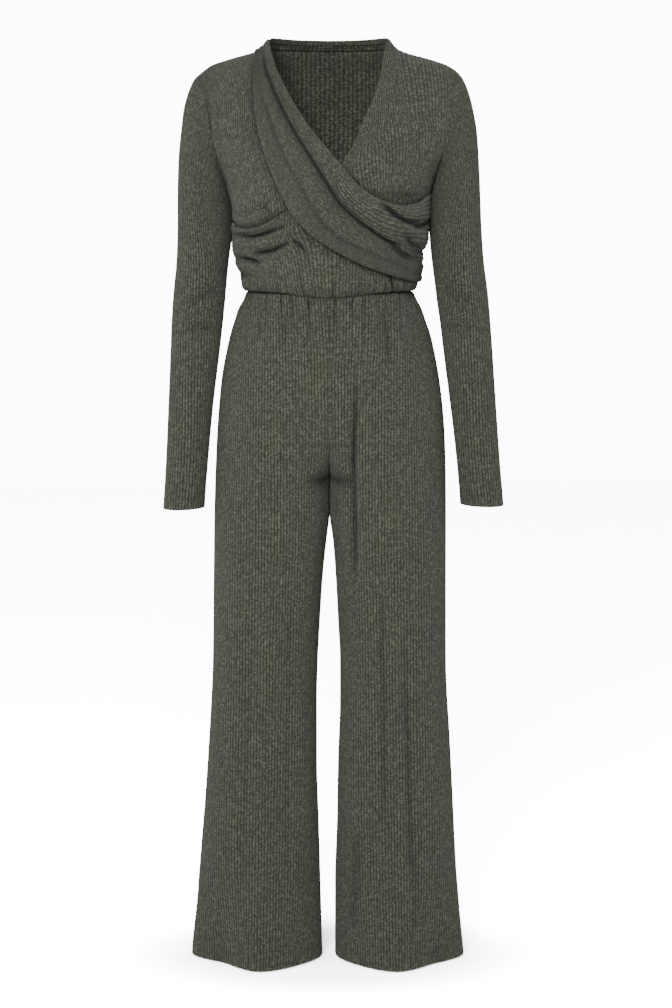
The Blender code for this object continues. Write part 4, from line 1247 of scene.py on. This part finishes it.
def floor_material(stage):
    """Pale paint that shows as bright as a lit studio sweep and keeps its soft shadows, with a
    painted shadow round the hems.
    """
    material, tree, nodes, links = new_material("pale_floor")
    nodes.remove(nodes["Principled BSDF"])
    paint, bright = nodes.new("ShaderNodeBsdfDiffuse"), nodes.new("ShaderNodeBsdfDiffuse")
    paint.inputs["Color"].default_value = (*stage.floor_colour, 1.0)
    place, shrink = nodes.new("ShaderNodeTexCoord"), nodes.new("ShaderNodeMapping")
    shrink.inputs["Scale"].default_value = (1 / FOOT_SHADE[0], 1 / FOOT_SHADE[1], 0.0)
    away = nodes.new("ShaderNodeVectorMath")
    away.operation = "LENGTH"
    links.new(place.outputs["Object"], shrink.inputs["Vector"])
    links.new(shrink.outputs["Vector"], away.inputs[0])
    # Painted shadow: the floor shows darker close round the hems
    clear = ramp_between(tree, away.outputs["Value"], 0.55, 1.25)
    painted_shadow_and_glow = [(*[glow * part for part in stage.floor_colour], 1.0)
             for glow in (stage.floor_shade, stage.floor_glow)]
    links.new(blend_colours(tree, clear, *painted_shadow_and_glow), bright.inputs["Color"])
    join_by_sight(tree, paint.outputs[0], bright.outputs[0],
                  nodes["Material Output"].inputs["Surface"])
    return material


def thread_material(name, look):
    """Sewing thread, with the twist of its plies."""
    if name in bpy.data.materials:
        return bpy.data.materials[name]
    material, tree, nodes, links = new_material(name)
    shader = nodes["Principled BSDF"]
    shader.inputs["Specular IOR Level"].default_value = 0.35
    place = nodes.new("ShaderNodeTexCoord")
    twist = noise(tree, place.outputs["Object"], 2600.0, 1.0)
    colour = blend_colours(tree, twist, (*look.dark_fleck, 1.0), (*look.olive, 1.0))
    links.new(colour, shader.inputs["Base Color"])
    links.new(ramp_between(tree, twist, 0.2, 0.8, 0.7, 0.5), shader.inputs["Roughness"])
    bump(tree, twist, 0.4, 0.0002)
    return material


def finish_panel(item, node, slot="rib_knit", look=None, painted_shade_scale=1.0):
    """Give a panel its knit, attach it to the root and hide the solid it stands for."""
    item.data.materials.append(knit_material("heather_" + slot, look, painted_shade_scale))
    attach(item, "root")
    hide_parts(node)
    return item


def number(title, description, default, low, high, unit="NONE", subtype="NONE"):
    return bpy.props.FloatProperty(name=title, description=description, default=default,
                                   min=low, max=high, unit=unit, subtype=subtype)


def metres(title, description, default, low, high):
    return number(title, description, default, low, high, unit="LENGTH")


def factor(title, description, default):
    return number(title, description, default, 0.0, 1.0, subtype="FACTOR")


def tint(title, description, default):
    return bpy.props.FloatVectorProperty(name=title, description=description, subtype="COLOR",
                                         default=default, min=0.0, max=1.0)


class KnitSettings(bpy.types.PropertyGroup):
    rib_width: metres("Rib Width", "Width of one rib and its groove", 0.0048, 0.002, 0.01)
    rib_depth: metres("Rib Depth", "How deep the groove between two ribs is", 0.00065, 0.0, 0.001)
    course_length: metres("Course Length", "Height of one row of loops", 0.0021, 0.001, 0.005)
    loop_depth: metres("Loop Depth", "How far the loops stand up in the shading",
                       0.0007, 0.0, 0.002)
    wall: metres("Cloth Thickness", "Thickness of one layer of the knit", 0.001, 0.0005, 0.003)
    seam_dip: metres("Seam Dip", "How far a seam pulls the cloth in", 0.0009, 0.0, 0.003)
    hem_depth: metres("Hem Depth", "Cloth turned up inside the hems and cuffs", 0.024, 0.01, 0.05)
    olive: tint("Olive", "The warmer of the two greens", (0.084, 0.095, 0.061))
    grey_green: tint("Grey-Green", "The cooler of the two greens", (0.078, 0.088, 0.066))
    light_fleck: tint("Light Fleck", "Pale fibres in the yarn", (0.30, 0.33, 0.25))
    dark_fleck: tint("Dark Fleck", "Dark fibres in the yarn", (0.016, 0.018, 0.014))
    fleck_strength: factor("Fleck Strength", "How strongly the flecks show", 0.36)
    # Groove Shade and Crease Shade set painted shade: in the grooves between the ribs, and in
    # folds, at seams and beside the edges of layers above
    groove_shade: factor("Groove Shade", "How dark the grooves between the ribs are", 0.58)
    crease_shade: factor("Crease Shade", "How dark the bottoms of the folds and seams are", 0.88)


class StitchSettings(bpy.types.PropertyGroup):
    spacing: metres("Stitch Spacing", "From one stitch to the next", 0.0036, 0.002, 0.008)
    length: metres("Stitch Length", "Length of the thread that shows", 0.0026, 0.001, 0.006)
    thread: metres("Thread Thickness", "Thickness of the sewing thread", 0.0005, 0.0002, 0.001)
    row_gap: metres("Row Gap", "Between the two rows of a twin-needle hem", 0.0045, 0.002, 0.01)


class StageSettings(bpy.types.PropertyGroup):
    floor_colour: tint("Floor Colour", "Pale paint of the floor and its upswept back",
                       (0.9, 0.9, 0.9))
    floor_drop: metres("Floor Drop", "Floor's distance below the hems", 0.004, 0.0, 0.2)
    backdrop: number("Backdrop", "How brightly the room shows behind the cloth", 30.0, 1.0, 100.0)
    floor_glow: number("Floor Glow", "How brightly the lit floor shows", 46.0, 1.0, 100.0)
    # Painted shadow: the floor's brightness close round the hems
    floor_shade: number("Floor Shade", "How brightly it shows close around the hems",
                        13.0, 1.0, 100.0)
    sky_strength: number("Room Light", "Strength of the even light of the room", 0.23, 0.0, 5.0)
    front_light: number("Front Light", "Power of the large soft light in front",
                        77.0, 0.0, 1000.0, "POWER")
    side_light: number("Side Light", "Power of each soft light at the sides",
                       14.0, 0.0, 1000.0, "POWER")
    lens: number("Lens", "Focal length of the camera", 74.36, 20.0, 300.0, "CAMERA")


class PanelOperator:
    """What every panel's operator has in common."""

    bl_options = {"REGISTER", "UNDO"}

    def execute(self, context):
        self.knit(context.scene.jumpsuit_knit)
        return {"FINISHED"}


# Where rows lie closer together, in mm from a panel's end, and the panels' lengths in mm
BODICE_EDGE_ROWS = (0.8, 2, 4, 7, 11)
HEM_ROWS = (0.8, 2, 4.5, 8, 12, 16.5, 19.5, 21, 24)
GATHERED_ROWS = (1, 2.5, 5, 8, 16, 24, 32)
SLEEVE_LENGTH = 640
LEG_LENGTH = 1055


def along_rows(length, step, near=BODICE_EDGE_ROWS, far=BODICE_EDGE_ROWS):
    """Places along a panel from 0 to 1, spaced in millimetres over its length."""
    return rows_between(0.0, length, step, near, far) / length


class JUMPSUIT_OT_back(PanelOperator, bpy.types.Operator):
    """Knit the back of the bodice and its neckband"""

    bl_idname = "jumpsuit.back"
    bl_label = "Bodice Back"

    def knit(self, look):
        item = knit_panel("back_panel", back_surface, 86, along_rows(372, 6.5), look,
                          seams="bt", joins="lr", tucked="lr", turned_in="b",
                          gather=[("b", 0.5, 26, 2.3)])
        finish_panel(item, "bodice_back", look=look)
        band = knit_panel("back_neckband", band_surface, 46, np.linspace(0, 1, 9), look,
                          seams="b", turned="t", tucked="b", turn_depth=9.4)
        # The neckband's colours are scaled by 0.86: painted shade for the inside of the neck
        finish_panel(band, "neckband_back", "band_knit", look, 0.86)


class JUMPSUIT_OT_right_front(PanelOperator, bpy.types.Operator):
    """Knit the right bust panel, which runs in under the drape"""

    bl_idname = "jumpsuit.right_front"
    bl_label = "Right Front"

    def knit(self, look):
        item = knit_panel("right_front_panel", right_bust_surface, 38, along_rows(290, 5),
                          look, seams="t", joins="r", tucked="r",
                          shaded=[(drape_line("edge"), 1.0, 4.6), (drape_line("edge"), 0.4, 10),
                                  ([(row[1], row[2]) for row in LEFT_TOP.rows[:8]], 0.9, 3.0)])
        finish_panel(item, "bodice_front_right", look=look)


class JUMPSUIT_OT_left_front(PanelOperator, bpy.types.Operator):
    """Knit the left front, which crosses under the bust and is gathered at the right side"""

    bl_idname = "jumpsuit.left_front"
    bl_label = "Left Front"

    def knit(self, look):
        item = knit_panel("left_front_panel", left_front_surface, 84, along_rows(240, 4.1),
                          look, seams="b", joins="lr", turned="t", tucked="lr", turned_in="b",
                          gather=[("b", 0.6, 24, 4.1)],
                          shaded=[(drape_line("edge", 0.36), 1.0, 3.8),
                                  (drape_line("edge", 0.36), 0.35, 9),
                                  (drape_line("top", 0.45), 0.8, 3.0),
                                  (drape_line("top", 0.6), 0.4, 10)]
                          + [(UNDER_BUST_FOLDS[fold].run, 0.7, 3.0) for fold in (1, 3, 5)])
        finish_panel(item, "bodice_front_left",
                     look=look)


class JUMPSUIT_OT_drape(PanelOperator, bpy.types.Operator):
    """Knit the drape that crosses the front from the right shoulder to the left side"""

    bl_idname = "jumpsuit.drape"
    bl_label = "Drape"

    def knit(self, look):
        item = knit_panel("draped_panel", drape_surface, 44, along_rows(470, 4.6), look,
                          joins="bt", turned="lr", turn_depth=7,
                          shaded=[(drape_line("roll"), 1.0, 3.4), (drape_line("roll"), 0.35, 10)]
                          + [(fold.run, 0.85, 3.2) for fold in DRAPE_FOLDS[:4]])
        finish_panel(item, "drape_over",
                     look=look)


class JUMPSUIT_OT_sleeves(PanelOperator, bpy.types.Operator):
    """Knit both sleeves with their turned cuffs"""

    bl_idname = "jumpsuit.sleeves"
    bl_label = "Sleeves"

    def knit(self, look):
        for sign, side in ((-1, "right"), (1, "left")):
            surface = sleeve_surface(side)
            item = knit_panel(side + "_sleeve", lambda u, v: surface(u, 1 - v),
                              look.rib_width / MM, along_rows(SLEEVE_LENGTH, 10, HEM_ROWS), look,
                              axis_x=sign * SLEEVE_AXIS, joins="lrt", turned="b",
                              tucked="lt", groove_painted_shade=0.36,
                              shaded=[([(sign * x, z) for x, z in UNDERARM_SHADE], 0.45, 9)],
                              turn_depth=look.hem_depth / MM,
                              middle=lambda fine, points: np.full(points.shape[1], 0.5))
            finish_panel(item, "sleeve_" + side, look=look)


class JUMPSUIT_OT_trousers(PanelOperator, bpy.types.Operator):
    """Knit the four trouser panels with their turned hems"""

    bl_idname = "jumpsuit.trousers"
    bl_label = "Trousers"

    def knit(self, look):
        tucks = {("right", "front"): "lr", ("left", "front"): "r",
                 ("right", "back"): "l", ("left", "back"): ""}
        for sign, side in ((-1, "right"), (1, "left")):
            for face in ("front", "back"):
                seed = 1.1 + sign * 0.4 + (0.9 if face == "back" else 0)
                item = knit_panel("%s_%s_trouser" % (side, face), trouser_surface(side, face),
                                  look.rib_width / MM,
                                  along_rows(LEG_LENGTH, 12, HEM_ROWS, GATHERED_ROWS),
                                  look, axis_x=sign * LEG_AXIS, seams="t", joins="lr",
                                  turned="b", shaded=LEG_SHADES.get((side, face), ()),
                                  groove_painted_shade=0.14, tucked="t" + tucks[side, face],
                                  gather=[("t", 0.8, 42, seed)],
                                  turn_depth=look.hem_depth / MM, middle=crease_line,
                                  pressed=where_legs_touch)
                finish_panel(item, "trouser_%s_%s" % (face, side),
                             look=look)


# Stitches made at a time, because bmesh slows down as a mesh grows, and how far below the top
# of the turned hem the lower row is, in mm
STITCH_BATCH = 40
STITCHING_DROP = 6.5


def stitch_row(mesh, path, sew):
    """Lay stitches along a closed or open path of (place, outward) points."""
    places = np.array([place for place, _ in path])
    outs = np.array([out for _, out in path])
    run = np.concatenate([[0], np.cumsum(np.linalg.norm(np.diff(places, axis=0), axis=1))])
    count = int(run[-1] // sew.spacing)
    part, piece = bmesh.new(), bpy.data.meshes.new("stitches")
    for index in range(count):
        middle = (index + 0.5) * run[-1] / count
        ends = [np.array([np.interp(middle + half * sew.length, run, places[:, axis])
                          for axis in range(3)]) for half in (-0.5, 0.5)]
        out = unit(np.array([np.interp(middle, run, outs[:, axis]) for axis in range(3)]))
        ahead = unit(ends[1] - ends[0])
        side = np.cross(out, ahead)
        seat = (ends[0] + ends[1]) / 2 + out * sew.thread * 0.1
        turn = Matrix([(*row, 0) for row in np.stack([ahead, side, out], axis=1)]
                      + [(0, 0, 0, 1)])
        size = Matrix.Diagonal((sew.length / 2, sew.thread / 2, sew.thread / 2, 1))
        bmesh.ops.create_uvsphere(part, u_segments=6, v_segments=4, radius=1.0,
                                  matrix=Matrix.Translation(Vector(seat)) @ turn @ size)
        if index % STITCH_BATCH == STITCH_BATCH - 1 or index == count - 1:
            part.to_mesh(piece)
            mesh.from_mesh(piece)
            part.clear()
    part.free()
    bpy.data.meshes.remove(piece)


def place_mesh(context, name, mesh, material):
    """Turn a finished bmesh into an object of the scene."""
    data = bpy.data.meshes.new(name)
    mesh.to_mesh(data)
    mesh.free()
    data.shade_smooth()
    data.materials.append(material)
    item = bpy.data.objects.new(name, data)
    context.scene.collection.objects.link(item)
    return item


def ring_path(surfaces, height):
    """A row of points round a hem at a distance in millimetres above its edge."""
    path = []
    for surface, length, reverse, axis_x in surfaces:
        u, v = np.meshgrid(np.linspace(0, 1, 161), np.array([height - 1, height, height + 1])
                           / length, indexing="ij")
        points = surface(u, v)
        normal, _ = grid_normals(points, axis_x)
        row = [(p * MM, n) for p, n in zip(points[:, 1], normal[:, 1])]
        path += row[::-1] if reverse else row
    return path


class JUMPSUIT_OT_stitching(bpy.types.Operator):
    """Sew the twin-needle rows of the hems and cuffs"""

    bl_idname = "jumpsuit.stitching"
    bl_label = "Hem Stitching"
    bl_options = {"REGISTER", "UNDO"}

    def execute(self, context):
        look, sew = context.scene.jumpsuit_knit, context.scene.jumpsuit_stitch
        for sign, side in ((-1, "right"), (1, "left")):
            sleeve = sleeve_surface(side)
            rings = {
                side + "_cuff_stitching": [
                    (lambda u, v, arm=sleeve: arm(u, 1 - v), SLEEVE_LENGTH, False,
                     sign * SLEEVE_AXIS)],
                side + "_hem_stitching": [
                    (trouser_surface(side, "front"), LEG_LENGTH, False, sign * LEG_AXIS),
                    (trouser_surface(side, "back"), LEG_LENGTH, True, sign * LEG_AXIS)],
            }
            for name, surfaces in rings.items():
                mesh = bmesh.new()
                for row in (0.0, sew.row_gap / MM):
                    height = look.hem_depth / MM - STITCHING_DROP + row
                    stitch_row(mesh, ring_path(surfaces, height), sew)
                thread = thread_material("sewing_thread", look)
                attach(place_mesh(context, name, mesh, thread), "root")
        return {"FINISHED"}


# Stage, in metres: the camera at the photo's angle, tipped down in degrees, lights of (name,
# place, size, setting for their power), and a sweep that is flat as far as SWEEP_FOOT
CAMERA_PLACE = (0.010, -3.23, -0.2797)
CAMERA_DOWN = 6.93
LIT_PLACE = Vector((0.0, 0.0, -0.65))
LIGHTS = (
    ("front_light", (-0.5, -3.2, 0.9), 1.3, "front_light"),
    ("left_light", (-3.2, -1.2, 0.6), 1.8, "side_light"),
    ("right_light", (3.2, -1.2, 0.6), 1.8, "side_light"),
)
SWEEP_SIDE = 14.0
SWEEP_NEAR = -10.0
SWEEP_FOOT = 6.6
SWEEP_BEND = 1.4
SWEEP_TOP = 12.0


class JUMPSUIT_OT_stage(bpy.types.Operator):
    """Set the pale floor with its upswept back, the soft lights and the camera"""

    bl_idname = "jumpsuit.stage"
    bl_label = "Stage"
    bl_options = {"REGISTER", "UNDO"}

    def execute(self, context):
        stage = context.scene.jumpsuit_stage
        self.sweep(context, stage)
        self.lights(context, stage)
        camera = bpy.data.cameras.new("camera")
        camera.lens = stage.lens
        camera.sensor_width = 36.0
        viewer = bpy.data.objects.new("camera", camera)
        viewer.location = CAMERA_PLACE
        viewer.rotation_euler = (math.radians(90 - CAMERA_DOWN), 0.0, 0.0)
        context.scene.collection.objects.link(viewer)
        context.scene.camera = viewer
        return {"FINISHED"}

    @staticmethod
    def sweep(context, stage):
        low = HEM_HEIGHT * MM - stage.floor_drop
        mesh = bmesh.new()
        bend = [(SWEEP_FOOT + SWEEP_BEND * math.sin(turn), low + SWEEP_BEND * (1 - math.cos(turn)))
                for turn in np.linspace(0.1, math.pi / 2, 14)]
        profile = [(SWEEP_NEAR, low), (SWEEP_FOOT, low), *bend,
                   (SWEEP_FOOT + SWEEP_BEND, SWEEP_TOP)]
        line = [mesh.verts.new((-SWEEP_SIDE, y, z)) for y, z in profile]
        edges = [mesh.edges.new(pair) for pair in zip(line, line[1:])]
        grown = bmesh.ops.extrude_edge_only(mesh, edges=edges)["geom"]
        moved = [part for part in grown if isinstance(part, bmesh.types.BMVert)]
        bmesh.ops.translate(mesh, verts=moved, vec=(2 * SWEEP_SIDE, 0.0, 0.0))
        bmesh.ops.recalc_face_normals(mesh, faces=mesh.faces[:])
        place_mesh(context, "floor", mesh, floor_material(stage))

    @staticmethod
    def lights(context, stage):
        world = bpy.data.worlds.new("room")
        context.scene.world = world
        world.use_nodes = True
        tree, nodes = world.node_tree, world.node_tree.nodes
        room, seen = nodes["Background"], nodes.new("ShaderNodeBackground")
        for node, strength in ((room, stage.sky_strength), (seen, stage.backdrop)):
            node.inputs["Strength"].default_value = strength
            node.inputs["Color"].default_value = (1.0, 1.0, 1.0, 1.0)
        join_by_sight(tree, room.outputs[0], seen.outputs[0],
                      nodes["World Output"].inputs["Surface"])
        for name, place, size, power in LIGHTS:
            lamp = bpy.data.lights.new(name, "AREA")
            lamp.shape = "SQUARE"
            lamp.size = size
            lamp.energy = getattr(stage, power)
            item = bpy.data.objects.new(name, lamp)
            item.location = place
            item.rotation_euler = (LIT_PLACE - Vector(place)).to_track_quat("-Z", "Y").to_euler()
            context.scene.collection.objects.link(item)


class JUMPSUIT_PT_tools(bpy.types.Panel):
    """Sizes, colours and pieces of the jumpsuit"""

    bl_idname = "JUMPSUIT_PT_tools"
    bl_label = "Jumpsuit"
    bl_space_type = "VIEW_3D"
    bl_region_type = "UI"
    bl_category = "Jumpsuit"

    def draw(self, context):
        layout = self.layout
        for group, title in (("jumpsuit_knit", "Knit"), ("jumpsuit_stitch", "Stitching"),
                             ("jumpsuit_stage", "Stage")):
            settings = getattr(context.scene, group)
            box = layout.box()
            box.label(text=title)
            for name in settings.__annotations__:
                box.prop(settings, name)
        for operator in PIECES:
            layout.operator(operator.bl_idname)


SETTINGS = {
    "jumpsuit_knit": KnitSettings,
    "jumpsuit_stitch": StitchSettings,
    "jumpsuit_stage": StageSettings,
}
PIECES = (
    JUMPSUIT_OT_back,
    JUMPSUIT_OT_right_front,
    JUMPSUIT_OT_left_front,
    JUMPSUIT_OT_drape,
    JUMPSUIT_OT_sleeves,
    JUMPSUIT_OT_trousers,
    JUMPSUIT_OT_stitching,
    JUMPSUIT_OT_stage,
)


def register():
    for kind in (*SETTINGS.values(), *PIECES, JUMPSUIT_PT_tools):
        bpy.utils.register_class(kind)
    for name, kind in SETTINGS.items():
        setattr(bpy.types.Scene, name, bpy.props.PointerProperty(type=kind))


def unregister():
    for name in SETTINGS:
        delattr(bpy.types.Scene, name)
    for kind in reversed((*SETTINGS.values(), *PIECES, JUMPSUIT_PT_tools)):
        bpy.utils.unregister_class(kind)


def main():
    register()
    bpy.ops.jumpsuit.back()
    bpy.ops.jumpsuit.right_front()
    bpy.ops.jumpsuit.left_front()
    bpy.ops.jumpsuit.drape()
    bpy.ops.jumpsuit.sleeves()
    bpy.ops.jumpsuit.trousers()
    bpy.ops.jumpsuit.stitching()
    bpy.ops.jumpsuit.stage()


if __name__ == "__main__":
    main()
